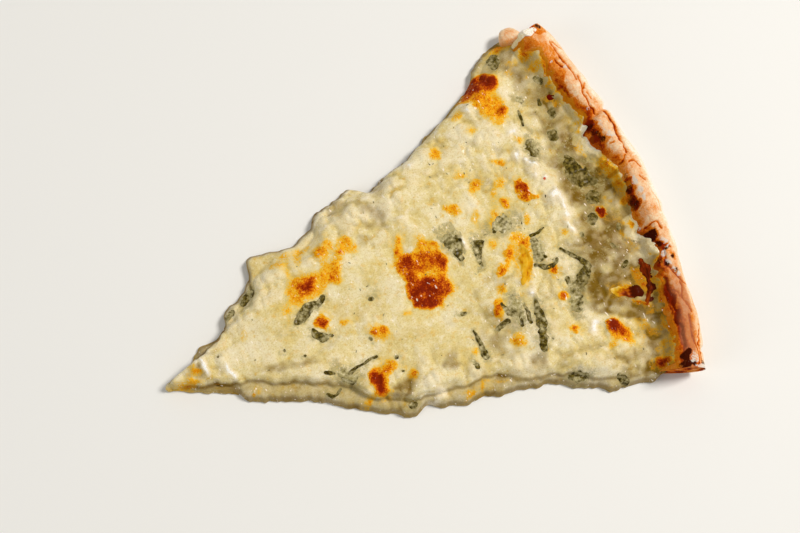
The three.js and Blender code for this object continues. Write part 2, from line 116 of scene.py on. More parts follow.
def addLights():
    right, up, back = viewAxes()
    target = Vector(camera["target"]) / 1000
    for name, light in lights.items():
        data = bpy.data.lights.new(name, "AREA")
        data.size, data.energy = light["size"], light["watts"]
        data.color = toLinear(light["colour"])[:3]
        r, u, b = light["towards"]
        place = target + (right * r + up * u + back * b).normalized() * light["distance"]
        aimed(bpy.data.objects.new(name, data), place, target)
    world = bpy.data.worlds.new("studio")
    world.use_nodes = True
    sky = world.node_tree.nodes["Background"]
    sky.inputs["Color"].default_value = toLinear(surround["colour"])
    sky.inputs["Strength"].default_value = surround["strength"]
    bpy.context.scene.world = world
    bpy.context.scene.view_settings.view_transform = "Standard"  # keeps the ambers as deep as they are given


addCamera()
addLights()
print("camera and light stand")


def smoothStep(t):
    t = np.clip(t, 0.0, 1.0)
    return t * t * (3 - 2 * t)


def roundedEdge(t):
    return np.sqrt(1 - (1 - np.clip(t, 0.0, 1.0)) ** 2)


def mix(a, b, t):
    return a + (b - a) * t


def latticeValue(ix, iy, seed):
    h = (ix * 374761393 + iy * 668265263 + seed * 974634777) & 0xFFFFFFFF
    h = ((h ^ (h >> 13)) * 1274126177) & 0xFFFFFFFF
    return ((h ^ (h >> 16)) & 0xFFFF) / 32767.5 - 1.0


def softNoise(x, y, size, seed):  # smooth, from -1 to 1, with one bump about every size millimetres
    x, y = np.asarray(x, float) / size, np.asarray(y, float) / size
    ix, iy = np.floor(x).astype(np.int64), np.floor(y).astype(np.int64)
    fx, fy = x - ix, y - iy
    fx, fy = fx ** 3 * (fx * (fx * 6 - 15) + 10), fy ** 3 * (fy * (fy * 6 - 15) + 10)
    low = mix(latticeValue(ix, iy, seed), latticeValue(ix + 1, iy, seed), fx)
    high = mix(latticeValue(ix, iy + 1, seed), latticeValue(ix + 1, iy + 1, seed), fx)
    return mix(low, high, fy)


def layeredNoise(x, y, layers, seed):  # layers are [by, grain], and each takes the next seed
    return sum(by * softNoise(x, y, grain, seed + i) for i, (by, grain) in enumerate(layers))


def wandered(x, y, layers, seed):  # places moved about, so that outlines come out uneven
    return x + layeredNoise(x, y, layers, seed), y + layeredNoise(x, y, layers, seed + len(layers))


def easedCurve(points, place):  # reads a list of [place, value]
    xs, ys = np.array(points, float).T
    i = np.clip(np.searchsorted(xs, place) - 1, 0, len(xs) - 2)
    return mix(ys[i], ys[i + 1], smoothStep((place - xs[i]) / (xs[i + 1] - xs[i])))


def slackCurve(points, place):  # the same, read straight between its points and then eased a little
    xs, ys = np.array(points, float).T
    return sum(np.interp(place + step, xs, ys) for step in (-1.6, -0.8, 0.0, 0.8, 1.6)) / 5


def inFrame(along, aside, up):  # to metres in the part's frame
    return np.stack([along - pie["originRadius"], aside, up], -1) / 1000


def meshPiece(name, points, faces, attributes, material):
    mesh = bpy.data.meshes.new(name)
    points = np.clip(points, *np.array(cadBox))  # no lump reaches past the solids
    mesh.from_pydata(points.tolist(), [], faces)
    for key, values in attributes.items():
        layer = mesh.attributes.new(key, "FLOAT", "POINT")
        layer.data.foreach_set("value", np.asarray(values, np.float32))
    mesh.materials.append(material)
    mesh.polygons.foreach_set("use_smooth", [True] * len(mesh.polygons))
    piece = bpy.data.objects.new(name, mesh)
    bpy.context.scene.collection.objects.link(piece)
    return piece


def spotDistance(along, aside, spot):  # 1 on the outline of a spot
    u, v, length, width, heading, _ = spot
    turn = math.radians(heading)
    du, dv = along - u, aside - v
    return np.hypot((du * math.cos(turn) + dv * math.sin(turn)) / (length / 2),
                    (dv * math.cos(turn) - du * math.sin(turn)) / (width / 2))


def pathDistance(x, y, path):  # millimetres past the edge of a band; the path's points hold its width
    nearest = np.full(np.shape(x), 1e9)
    for (x0, y0, w0), (x1, y1, w1) in zip(path, path[1:]):
        dx, dy = x1 - x0, y1 - y0
        t = np.clip(((x - x0) * dx + (y - y0) * dy) / (dx * dx + dy * dy), 0, 1)
        nearest = np.minimum(nearest, np.hypot(x - x0 - t * dx, y - y0 - t * dy) - mix(w0, w1, t) / 2)
    return nearest


def nearPath(x, y, path, reach):
    xs, ys, _ = np.array(path).T
    return (x > xs.min() - reach) & (x < xs.max() + reach) & (y > ys.min() - reach) & (y < ys.max() + reach)


# Sockets that share a name go by number: in a mix of colours 0 is the share, 6 the first colour and 7 the
# second, and in arithmetic 0, 1 and 2 are the terms in their order.
def addNode(tree, kind, settings=None, links=None):
    node = tree.nodes.new(kind)
    for key, value in (settings or {}).items():
        if key == "stops":  # a colour ramp's positions and colours
            while len(node.color_ramp.elements) < len(value):
                node.color_ramp.elements.new(1.0)
            for element, (position, colour) in zip(node.color_ramp.elements, value):
                element.position = position
                element.color = toLinear(colour)
        elif isinstance(key, str) and hasattr(node, key):
            setattr(node, key, value)
        else:
            node.inputs[key].default_value = toLinear(value) if isinstance(value, str) else value
    for key, source in (links or {}).items():
        if isinstance(source, bpy.types.Node):  # a node stands for its first output in use
            source = next(output for output in source.outputs if output.enabled)
        tree.links.new(source, node.inputs[key])
    return node


def every(millimetres):  # a texture's scale, from the size of its grain
    return 1000.0 / millimetres


def emptyMaterial(name):
    material = bpy.data.materials.new(name)
    material.use_nodes = True
    material.node_tree.nodes.clear()
    return material, material.node_tree


cheese = {
    "level": 13.0,
    "tipLevel": 10.2,
    "tipRun": 46.0,  # how far from the centre that reaches
    "noseRadius": 3.4,
    "foot": 0.4,  # underside of what has run over a cut
    "raisedFoot": 2.6,  # the same where it doesn't reach the table
    "edgeRound": 3.0,
    "edgeHeight": 1.0,
    "apronHeight": 6.8,  # of what has run over a cut
    "apronRound": 5.0,
    "lipWidth": {"left": 8.0, "right": 3.2, "rightFar": 5.8},  # of the slope from the upper layer down to it
    "cutRound": 3.0,
    "rimLip": 0.9,  # thickness on the dough's slope
    "rimLipRound": 3.0,
    "dive": 2.4,  # how far it goes on into the dough
    "fitRadius": 205.0,  # from here out the mesh's rows follow the cheese's end on the rim
    "spacing": 0.64,  # of the mesh, and what lies closer together at its edge, tip and end
    "edgeSpacing": 0.42,
    "edgeBand": 7.0,
    "noseReach": 3.0,
    "noseRows": 16,
    "endReach": 4.0,
    "endRows": 11,
    "rings": [(0.25, 0.45), (0.1, 0.12), (-0.7, 0.0)],  # under the edge: how far out, and part of its height
}

# How far it has run out past each cut, by distance from the pie's centre, and where its upper layer ends.
runOut = {
    "left": [[-4, 2.4], [3, 2.5], [14, 1.3], [19, 3.2], [23, 4.8], [31, 2.1], [39, 2.2], [42, 7.6], [46, 9],
             [52, 7.8], [58, 9.2], [65, 12.3], [67, 17], [69, 19.6], [73, 20.3], [76, 18.2], [81, 15.5],
             [84, 12.5], [87, 11.6], [91, 8.6], [100, 8.8], [106, 9.6], [112, 14], [118, 11.5], [125, 10.9],
             [132, 10.5], [135, 8.6], [137, 2.6], [146, 1.1], [156, 1.7], [164, -0.5], [170, -0.1],
             [177, 1], [185, 2.3], [196, 2], [207, 3.1], [218, 6], [223, 10.4], [228, 12], [240, 12.2],
             [247, 6.5], [256, 4]],
    "right": [[-4, 2.2], [3, 1.8], [8, 2.8], [18, 3.5], [27, 3.8], [33, 4.6], [37, 8.2], [43, 8.5],
              [59, 8.4], [71, 9.3], [80, 11.4], [96, 14.7], [105, 16.4], [111, 16.4], [116, 19.2],
              [121, 16.9], [125, 12.6], [134, 13.9], [138, 12], [145, 13.2], [153, 8.6], [163, 8.6],
              [167, 6.4], [175, 6.4], [182, 4.2], [193, 3.8], [200, 6], [210, 5.9], [215, 7.5], [220, 8.5],
              [223, 6.3], [233, 3.9], [238, 3.8], [243, 0.2], [250, -1.4]],
}
lipOut = {
    "left": [[0, 1.2], [12, 0.9], [16, -0.2], [29, -0.9], [38, 0], [50, 1.5], [73, 9], [92, 2], [112, 6],
             [128, 4], [140, 0.5], [220, 1.5], [236, 7], [266, 2]],
    "right": [[-4, 1.4], [3, 0.4], [8, -0.4], [18, 0.2], [27, -0.6], [33, 0.2], [38, -0.8], [62, 0],
              [86, 2], [104, 9], [122, 9.5], [142, 4], [154, 0.2], [186, 0.4], [230, 0.8], [266, 0]],
}
raisedStretch = {"left": (137, 212), "right": (232, 270)}  # where it doesn't reach the table
trough = {"radius": 233.0, "width": 9.0, "depth": 2.6}  # the hollow before the rim
# Where it ends on the rim: degrees from the middle line, and radius.
rimEdge = [[-24, 245.5], [-20, 245.6], [-16, 244.4], [-13.5, 244.2], [-11, 244.8], [-9.8, 245.4],
           [-8.6, 247.6], [-7, 246.4], [-5.4, 243.4], [-2, 244.0], [0, 244.6], [2.4, 246.4], [4.4, 243.6],
           [6.6, 241.6], [8, 241.0], [9.0, 242.4], [9.8, 245.4], [13, 243.8], [16, 245.0], [18.2, 248.0],
           [19.2, 249.4], [20.0, 246.2], [20.8, 243.8], [21.4, 245.6], [22, 250]]

# Long swells: height, length, heading and phase. Then lumps and hollows: along, aside, height and radius.
swell = [(0.6, 47, 20, 0.3), (0.45, 33, 105, 2.2), (0.3, 23, 62, 4.4)]
lumps = [
    (3.6, 1.2, 1.3, 3.6), (21, 3, 2.4, 8), (62, 8, 1.3, 13), (79, 18, 1.2, 8), (72, 44, 2.2, 9),
    (94, 33, 1.2, 9), (115, 42, 3.2, 7), (117, 55, 2.0, 7), (139, 46, 3.4, 8), (135, 30, 2.2, 6),
    (126, 38, -1.5, 6), (108, 50, -1.6, 5), (136, -2, 1.4, 13), (103, -54, 2.4, 7), (118, -50, 2.2, 8),
    (158, 56, 1.4, 11), (170, 40, 1.3, 12), (190, 56, 1.5, 10), (204, 80, 1.8, 9), (205, 27, 2.2, 8),
    (212, 12, 1.8, 7), (188, -35, 2.8, 7), (197, -10, 1.2, 8), (169, -58, -1.2, 8), (172, -64, 1.6, 6),
    (187, -70, 1.6, 6), (198, -73, 1.6, 7), (211, -62, 1.6, 8), (228, -47, 1.6, 8),
]
# Finer relief: height and grain of soft waves, and of curd lumps with creases between them.
softRelief = [(0.45, 13.0), (0.3, 6.5), (0.1, 2.6)]
curdRelief = [(2.8, 10.0), (1.9, 4.8), (0.55, 2.4)]
# Spots, here and further on, are given as along, aside, length, width, heading in degrees and strength.
curdyPlaces = [
    (118, 48, 60, 40, 20, 1.0), (92, 36, 36, 20, 20, 0.7), (190, 52, 60, 50, 0, 0.75),
    (22, 3, 30, 16, 0, 1.0), (108, -47, 40, 24, -15, 0.9), (150, -58, 60, 16, -20, 0.7),
    (200, -66, 50, 26, -20, 0.8), (210, 0, 30, 90, 0, 0.6), (182, -25, 40, 40, 0, 0.7),
    (55, 22, 50, 14, 20, 0.8), (224, -28, 34, 70, 0, 0.55), (228, 30, 24, 60, 0, 0.4),
]
# Thick pale lips of curd that bridge the dough's slope: degrees from the middle line, half length, and width.
curdLips = [(6.6, 2.6, 3.6), (3.2, 0.8, 2.0), (1.6, 0.4, 1.6), (-4.5, 1.5, 3.0), (-6.3, 0.7, 2.4),
            (-7.6, 1.0, 2.4), (21.2, 0.8, 2.4)]


def planPoint(radius, sideways):  # past a cut the plan goes straight out from the cut
    safe = np.maximum(radius, 1e-6)
    halfArc = np.maximum(0, radius) * pie["halfAngle"]
    side = np.sign(sideways)
    past = np.abs(sideways) - halfArc
    angle = np.where(past > 0, side * pie["halfAngle"], sideways / safe)
    out = np.maximum(0, past)
    along = np.where(radius > 0, radius * np.cos(angle) - out * math.sin(pie["halfAngle"]), radius)
    aside = np.where(radius > 0, radius * np.sin(angle) + side * out * math.cos(pie["halfAngle"]), sideways)
    return along, aside, np.where(radius > 0, angle, 0.0), past


def halfWidth(radius, side):  # how far the layer reaches to that side
    out = slackCurve(runOut[side], radius)
    ragged = layeredNoise(radius, 0.0, [(0.55, 4.5), (0.4, 2.0)], 41 if side == "left" else 44)
    tapered = out * np.sqrt(np.maximum(0.02, 1 - (radius / cheese["noseRadius"]) ** 2))
    return np.where(radius > 0, radius * pie["halfAngle"] + out + ragged * smoothStep(radius / 20), tapered)


def perSide(sideways, left, right):
    return np.where(sideways > 0, left, right)


def rimEdgeRadius(angle):  # where the cheese ends on the rim
    ragged = layeredNoise(angle * pie["radius"], 0.0, [(0.7, 5.0), (0.55, 2.2), (0.3, 1.1)], 51)
    return easedCurve(rimEdge, np.degrees(angle)) + ragged


def surfaceRelief(along, aside):  # fine relief, with curd lumps and creases between them
    u, v = wandered(along, aside, [(1.5, 8.0)], 66)
    curd = 0.0
    for i, (height, grain) in enumerate(curdRelief):
        curd = curd + height * (np.abs(softNoise(u, v, grain, 68 + i)) - 0.28)
    curdy = 0.22 + 0.78 * spotField(along, aside, curdyPlaces, 64, 0.8)
    return layeredNoise(along, aside, softRelief, 61) + curd * curdy


def lipAt(angle, beyond):  # how much of a pale lip of curd lies there
    width = np.zeros_like(beyond)
    for middle, half, reach in curdLips:
        within = smoothStep((half - np.abs(np.degrees(angle) - middle)) / 0.6 + 0.5)
        width = np.maximum(width, reach * within)
    wander = layeredNoise(angle * pie["radius"], 0.0, [(1.2, 5.0), (0.8, 2.4)], 55)
    return smoothStep((beyond + width + wander - 0.3) / 1.4) * smoothStep((width - 0.6) / 1.2)


def cheeseLevel(along, aside):  # height of the upper layer without its fine relief
    radius = np.hypot(along, aside)
    height = mix(cheese["level"], cheese["tipLevel"], np.exp(-(radius / cheese["tipRun"]) ** 2))
    for by, length, heading, phase in swell:
        place = along * math.cos(math.radians(heading)) + aside * math.sin(math.radians(heading))
        height = height + by * np.sin(2 * math.pi * place / length + phase)
    for u, v, by, size in lumps:
        height = height + by * np.exp(-((along - u) ** 2 + (aside - v) ** 2) / size ** 2)
    return height - trough["depth"] * np.exp(-((radius - trough["radius"]) / trough["width"]) ** 2)


rim = {
    "crownRadius": 251.0,
    "crownHeight": 22.5,
    "waistHeight": 10.0,
    "slopeWidth": 17.0,
    "footHeight": 3.0,
    "baseThickness": 4.5,
    "tipRadius": 4.0,
    "heightWaves": [(1.3, 88, 0.6), (0.7, 33, 2.1)],
    "widthWaves": [(1.0, 120, 2.4), (0.6, 41, 0.3)],
}
# How far the outside has shrunk back in the oven, by degrees from the middle line.
rimShrunk = [[-24, 0], [-19, 0], [-17, 1.2], [-13, 2.2], [-10.5, 2.4], [-8.8, 3.4], [-6.4, 4.4],
             [-4.4, 3.8], [-3, 2.4], [1, 2.2], [4, 0.8], [7, 0.4], [11, 0.6], [12.5, 1.4], [14, 0.4],
             [24, 0]]


def waves(listed, place):
    return sum(by * np.sin(2 * math.pi * place / length + phase) for by, length, phase in listed)


def rimAt(angle):  # the crown's radius and height, and how far the outside lies beyond it
    place = angle * pie["radius"]
    width = waves(rim["widthWaves"], place)
    crownRadius = rim["crownRadius"] + 0.5 * width
    shrunk = easedCurve(rimShrunk, np.degrees(angle))
    crownHeight = rim["crownHeight"] + waves(rim["heightWaves"], place)
    return crownRadius, crownHeight, pie["radius"] - rim["crownRadius"] + 0.5 * width - shrunk


def doughTop(radius, angle):  # the dough's slope, up to the crown
    crownRadius, crownHeight, _ = rimAt(angle)
    up = np.clip(1 - (crownRadius - radius) / rim["slopeWidth"], 0, 1)
    slope = rim["footHeight"] + (crownHeight - rim["footHeight"]) * (0.5 - 0.5 * np.cos(math.pi * up))
    return np.maximum(rim["baseThickness"], slope)


def lipEndAt(radius, sideways, past):  # how far past the cut the upper layer ends
    end = perSide(sideways, easedCurve(lipOut["left"], radius), easedCurve(lipOut["right"], radius))
    ragged = 1.5 * softNoise(radius, np.sign(sideways) * 9, 9.0, 47) * smoothStep((radius - 20) / 30)
    return end + ragged + 0.8 * softNoise(radius, past, 3.2, 48)


def cheeseTop(radius, sideways):  # height of the layer's face
    along, aside, angle, past = planPoint(radius, sideways)
    inside = perSide(sideways, halfWidth(radius, "left"), halfWidth(radius, "right")) - np.abs(sideways)
    nose = radius + cheese["noseRadius"]
    rough = surfaceRelief(along, aside)
    thin = 0.55 + 0.45 * smoothStep((radius - 28) / 10)
    apron = thin * cheese["apronHeight"] * roundedEdge(inside / cheese["apronRound"])
    apron = apron + rough * smoothStep(inside / 3)
    lipEnd = lipEndAt(radius, sideways, past)
    width = cheese["lipWidth"]
    leftWidth = mix(width["right"], width["left"], smoothStep((radius - 38) / 25))
    rightWidth = mix(width["right"], width["rightFar"], smoothStep((radius - 126) / 22))
    lipPart = (lipEnd + 1 - past) / perSide(sideways, leftWidth, rightWidth)
    lip = 0.5 * smoothStep(lipPart) + 0.5 * roundedEdge(lipPart)
    melted = apron + (cheeseLevel(along, aside) + rough + ridgeField(along, aside)[0] - apron) * lip
    edge = roundedEdge(np.minimum(inside / cheese["edgeRound"], nose / (2 * cheese["edgeRound"])))
    low = cheese["foot"] + cheese["edgeHeight"]
    flat = low + (melted - low) * edge
    beyond = radius - rimEdgeRadius(angle)
    thick = cheese["rimLip"] * roundedEdge(-beyond / cheese["rimLipRound"])
    thick = thick - 2 * np.maximum(0, beyond / cheese["dive"])
    climbing = doughTop(radius, angle) + thick + 0.35 * rough * smoothStep(-beyond / 2)
    ending = low + (flat - low) * roundedEdge(-beyond / cheese["edgeRound"])
    onDough = np.where(beyond > -1, climbing, np.maximum(flat, climbing))
    lumpy = layeredNoise(along, aside, [(0.5, 3.0), (0.3, 1.5)], 57)
    shelf = doughTop(rimEdgeRadius(angle) - 0.6, angle) + 0.5 + lumpy + 0.35 * np.minimum(0, beyond + 0.6)
    shelf = shelf - 3 * np.maximum(0, beyond + 0.3)
    onDough = mix(onDough, np.maximum(onDough, shelf), lipAt(angle, beyond))
    return ending + (onDough - ending) * smoothStep(-past / cheese["cutRound"])


# Ridges of pale cream along places with their widths. A whole one isn't broken up by noise and its middle
# goes to white: the two at the tip are painted highlights.
creamRidges = [
    {"path": [(159.6, 9.5, 2.2), (160.2, 0.5, 2.6)], "height": 1.0},
    {"path": [(188.2, -9, 1.0), (187.4, -14, 1.4), (184.6, -20.5, 1.0)], "height": 0.6},
    {"path": [(203, 38, 5), (208, 30, 7), (210, 18, 8), (214, 8, 6)], "height": 1.5},
    {"path": [(211, 12, 6), (214, 2, 7), (212.6, -9, 5)], "height": 1.3},
    {"path": [(181, -28.5, 5), (188.2, -33, 6)], "height": 1.2},
    {"path": [(189.8, -34.5, 1.0), (190.6, -41, 1.0)], "height": 0.6},
    {"path": [(213.0, -27, 1.0), (213.6, -31.5, 1.2)], "height": 0.5},
    {"path": [(133.5, 20, 2.5), (134.5, 13.5, 3.0)], "height": 0.8},
    {"path": [(187, 80, 2), (189, 72, 4), (194, 62, 4), (199, 52, 5)], "height": 1.0},
    {"path": [(213, 78, 4), (211, 70, 5), (208.6, 58, 5), (206, 48, 6)], "height": 0.9},
    {"path": [(24, 9.5, 3), (20, 6.5, 5), (16, 4, 3)], "height": 1.6},
    {"path": [(18.8, 4.8, 1.6), (20.0, 1.2, 3.0), (20.4, -3.4, 1.6)], "height": 0.6, "whole": True},
    {"path": [(29.8, -2.4, 1.6), (29.4, -6.0, 2.6), (31.2, -9.2, 2.4)], "height": 0.5, "whole": True},
    {"path": [(112, -59, 4), (118, -56, 7), (124, -57, 4)], "height": 1.2},
    {"path": [(100, 45, 4), (106, 44, 6), (112, 46, 4)], "height": 1.0},
    {"path": [(120, 52, 5), (128, 48, 5), (134, 43, 3)], "height": 1.2},
    {"path": [(133, 36, 4), (137, 31, 4), (139, 26, 3)], "height": 1.0},
    {"path": [(144, 50, 5), (150, 54, 6)], "height": 1.0},
    {"path": [(199, -60, 4), (203, -56, 6)], "height": 0.8},
]
browning = {
    "blend": 1.1,  # how far neighbouring spots grow into one another
    "edge": 2.4,  # from browned skin to bare cheese
    "crispEdge": 0.9,  # the same round the dark ones
    "deepening": 2.6,
    "halo": 5.0,  # yellow stain round a spot
    "stain": 0.17,
    "reach": 24,  # how far round a spot its field is worked out
    "blister": 0.7,  # how far a browned place stands up
}
# Browned places, whose strength is how dark the middle is: 1 is almost burnt.
browned = [
    # the large blister in the middle
    (133.6, -9.4, 19, 17.5, 20, 0.94), (129.5, -3.0, 9, 9, 0, 0.85), (129.5, 8.4, 10, 11, 0, 0.96),
    (127.6, 4, 6, 12, 10, 0.62), (145.5, 2.5, 8, 12, -20, 0.96), (142.8, -7, 7, 12, 10, 0.78),
    (138, 6, 14, 13, -70, 0.66), (138.2, -0.2, 18, 6.5, -22, 0.26), (140.5, 15, 9, 5, 75, 0.5),
    (145, 12, 6, 4, -20, 0.58), (128.7, 17.2, 13, 4.5, 62, 0.56), (129.8, 1.6, 6, 7, 0, 0.8),
    # the one at the upper cut, with its yellow tail
    (204.8, 82, 12, 13, 30, 1.0), (200.5, 80, 9, 13, 60, 0.93), (194.5, 78.4, 12, 7, 10, 0.74),
    (199.5, 74.4, 14, 7, 30, 0.52), (202, 67.4, 15, 13, 80, 0.42), (206.4, 63.4, 7, 7, 0, 0.72),
    (202.4, 58.2, 4, 8, 70, 0.36), (206.4, 69.2, 6, 6, 0, 0.5),
    # the cluster near the tip
    (76.5, 17.0, 18, 14, 30, 0.38), (74, 13.5, 8, 6, 30, 0.42), (84.5, 16.5, 13, 11, 40, 0.36),
    (90, 21, 12, 8, 50, 0.36), (93, 16.2, 6, 6, 0, 0.58), (96, 18.9, 6, 5, 40, 0.56),
    (97, 22, 12, 7, 60, 0.36), (102.8, 26.6, 6, 5, 30, 0.58), (106, 29.5, 7, 10, 30, 0.4),
    (108.9, 26.2, 5, 5, 0, 0.4), (92.8, 31.1, 8, 7, 10, 0.52), (98.4, 33.1, 4, 5, 0, 0.5),
    (81.8, 33.5, 9, 4, 75, 0.36), (85.3, 36.6, 7, 3, 0, 0.36), (75.1, 37.2, 5, 4, 20, 0.36),
    (72.1, 33, 4, 4, 20, 0.36), (68, 33.8, 3, 3, 0, 0.4), (74.1, 27.5, 10, 2.6, 75, 0.36),
    (65.8, 9.8, 5, 4, 0, 0.4),
    # between them
    (80.4, -2, 7, 8, 0, 0.86), (90.5, -5.9, 4.5, 4, 0, 0.42), (102, -17.1, 5, 6, 0, 0.6),
    (106.3, -18.6, 6, 6, 0, 0.58), (119.5, -13.5, 5, 4, 0, 0.3), (14.9, 0.4, 4.4, 3, 0, 0.6),
    (183.2, -15.0, 26, 10, 66, 0.22), (6.2, -2.9, 7, 1.8, -15, 0.62), (11.6, -4.2, 6, 1.6, -15, 0.55),
    (36.1, -20.8, 3, 2.2, 0, 0.66), (42.7, 6.5, 5, 5, 0, 0.22),
    # low, over the edge
    (94, -38, 9, 11, 30, 1.05), (94.5, -43.4, 6, 8, -20, 1.1), (99.4, -35.4, 9, 5, 20, 0.6),
    (103, -36, 4, 4, 0, 0.45), (85.8, -46.1, 8, 4, 10, 0.4), (110.2, -43.5, 5, 5, 0, 0.42),
    (143, -44, 4, 4, 0, 0.36), (132.6, -62.8, 5.5, 4, 0, 0.42), (140.2, -61.6, 3, 1.2, 60, 0.5),
    (149.5, -62.8, 10, 1.4, -20, 0.32),
    # upper middle
    (198, 21.5, 6, 10, 10, 1.1), (197.6, 16.4, 5, 5, 0, 0.9), (202.4, 13.7, 3, 2.2, 0, 0.85),
    (187.3, 17.6, 6, 6, 0, 0.58), (179.8, 13.8, 5, 6, 0, 0.5), (177.8, 10.3, 3, 5, 0, 0.46),
    (194.4, 5.9, 4, 5, 0, 0.55), (193.1, 38.2, 9, 4, -30, 0.4), (178.6, 32.3, 8, 7, 0, 0.46),
    (189.6, 28.6, 8, 5, 40, 0.4), (184, 24, 8, 3, 60, 0.3), (184.3, 69.5, 6, 6, 0, 0.38),
    (187.3, 58.5, 5, 4, 0, 0.34), (166, 55, 7, 7, 0, 0.34), (161.9, 25.5, 9.5, 6, -40, 0.44),
    (171.2, 16.9, 9, 4, 60, 0.28), (172.2, 39.8, 6, 4, 0, 0.42), (208.4, -8.1, 4, 4, 0, 0.4),
    (208.4, 45.2, 6, 6, 0, 0.26),
    # right of the middle
    (187.7, -5, 6, 7, 0, 0.72), (179.3, -6.2, 5, 6.5, 0, 0.72), (171.9, -14, 6.5, 6, 0, 0.78),
    (176, -10.6, 4, 3, 60, 0.5), (167.8, -21.6, 5, 4, 0, 0.42), (172.1, 0.6, 5, 5, 0, 0.36),
    (184.5, -1, 8, 6, 0, 0.36), (162.1, -29.5, 10, 5, 66, 0.84), (196, -23.6, 5, 5, 0, 0.66),
    (194.4, -36.8, 5, 6, 0, 0.7), (191.5, -54, 5, 5, 0, 0.6), (165.5, -48.5, 9, 8, 0, 0.4),
    (209.7, -60.4, 8, 8, 20, 1.02), (213.5, -64.4, 8, 6, -60, 0.84), (214, -67.4, 12, 6, -60, 0.42),
    (207, -68.5, 8, 4, 20, 0.34), (230.4, -5.4, 5, 6.5, 0, 1.6), (224.5, -86, 7, 5, 40, 0.95),
    (234, -45, 16, 9, -70, 0.34), (227.8, -55.4, 7, 1.6, -45, 0.95), (236.3, -20.9, 9, 1.2, -85, 0.5),
    (242.6, 15, 5, 12, 0, 0.45), (244, 3, 4, 14, 0, 0.5), (229, 86.5, 7, 9, 0, 0.5),
    (233, 77.6, 9, 6, 0, 0.34), (227, 93.8, 6, 4, 0, 0.5), (219.5, 97, 10, 7, 30, 0.44),
    (222, -45, 10, 4, -20, 0.5),
]
# These darken the middle of a wider one and don't add to its size.
darkMiddles = [(79, 17.0, 11, 8.5, 20, 0.64), (79.3, 16.6, 5.5, 5, 20, 1.0)]

# Leaf that lies wholly under the cream, as a grey green shadow.
sunken = [
    (110, 5, 10, 12, 0, 0.3), (207, 90, 22, 14, -20, 0.35), (219, -30, 12, 16, 0, 0.3),
    (230, 20, 18, 50, 0, 0.35), (226, 58, 12, 36, 8, 0.25), (172, -44, 30, 24, 0, 0.3),
    (204, -33, 20, 26, 0, 0.35), (62, 0, 14, 8, 0, 0.3), (84, -31, 30, 10, 12, 0.4),
    (190, 8, 18, 14, 0, 0.35), (231, 18, 15, 21, 0, 0.8), (230.5, 1.5, 9, 12, 0, 0.75),
    (227.4, 26, 8, 9, 0, 0.95), (224, -8.5, 8, 7, 0, 0.5), (231.4, -15, 4, 5, 0, 0.5),
    (224.2, -22, 5, 6, 0, 0.45), (218.5, -23.4, 6, 6, 0, 0.35), (184, -78, 9, 14, 0, 0.8),
    (204.5, -87, 6, 10, 0, 0.8),
]

# Hollows darker and more olive: oil that has gathered there, and painted shade in the hollows and in the
# trough before the rim.
oilAndShadeSpots = [
    (124, 38, 11, 16, 20, 0.4), (108, 50, 12, 10, 30, 0.5), (131, 52, 8, 10, 0, 0.4),
    (228, 76, 17, 30, 12, 0.5), (220, 90, 22, 16, 0, 0.5), (230, 52, 18, 44, 8, 0.6),
    (230, 20, 22, 50, 0, 0.85), (226, -20, 30, 44, 0, 0.76), (237, -22, 12, 30, 0, 0.8),
    (221, -41, 36, 22, -20, 0.85), (218, -53, 32, 10, -25, 1.0), (231, -70, 18, 40, -15, 0.7),
    (234, -44, 15, 22, 0, 1.0), (158, -42, 16, 26, 0, 0.45), (214, -80, 30, 12, -20, 0.5),
    (232.7, 56, 9, 12, 0, 1.0), (104.4, -47.6, 13, 9, 30, 0.45), (131, -44, 12, 7, 40, 0.5),
    (170, -61, 10, 8, 0, 0.5), (56, -15, 30, 5, -15, 0.5), (195, 66, 6, 18, 0, 0.3),
    (14, -0.6, 12, 8, 0, 0.5), (232, -84, 22, 13, -20, 0.9), (229, -60, 16, 9, -30, 1.0),
    (239, 8, 9, 26, 0, 0.82), (212, -84.5, 20, 7, -20, 0.9), (223, -87, 18, 9, -30, 1.0),
]

# Ridges of curd that stay pale.
curds = [
    (3.6, 1.4, 8, 6, 0, 1.0), (20, 6, 10, 5, -60, 0.9), (30, -6, 6, 9, 20, 0.7), (207, 30, 8, 30, 10, 0.9),
    (211, 14, 10, 20, 10, 0.9), (214, -8, 8, 16, 0, 0.6), (214, 68, 8, 22, 5, 0.6),
    (198, 45, 14, 14, 0, 0.5), (176, 52, 18, 14, 0, 0.5), (190, 72, 5, 10, 0, 0.9),
    (139, 46, 16, 12, 0, 0.6), (136, 30, 5, 15, -20, 0.9), (115, 42, 11, 10, 0, 0.5),
    (188, -34, 12, 12, 0, 0.7), (116.7, -49.7, 14, 9, 0, 0.9), (60, -20, 30, 8, -18, 0.5),
    (225, -22, 10, 22, 0, 0.4), (150, -66, 20, 5, -18, 0.5), (205, -75, 20, 5, -18, 0.5),
]


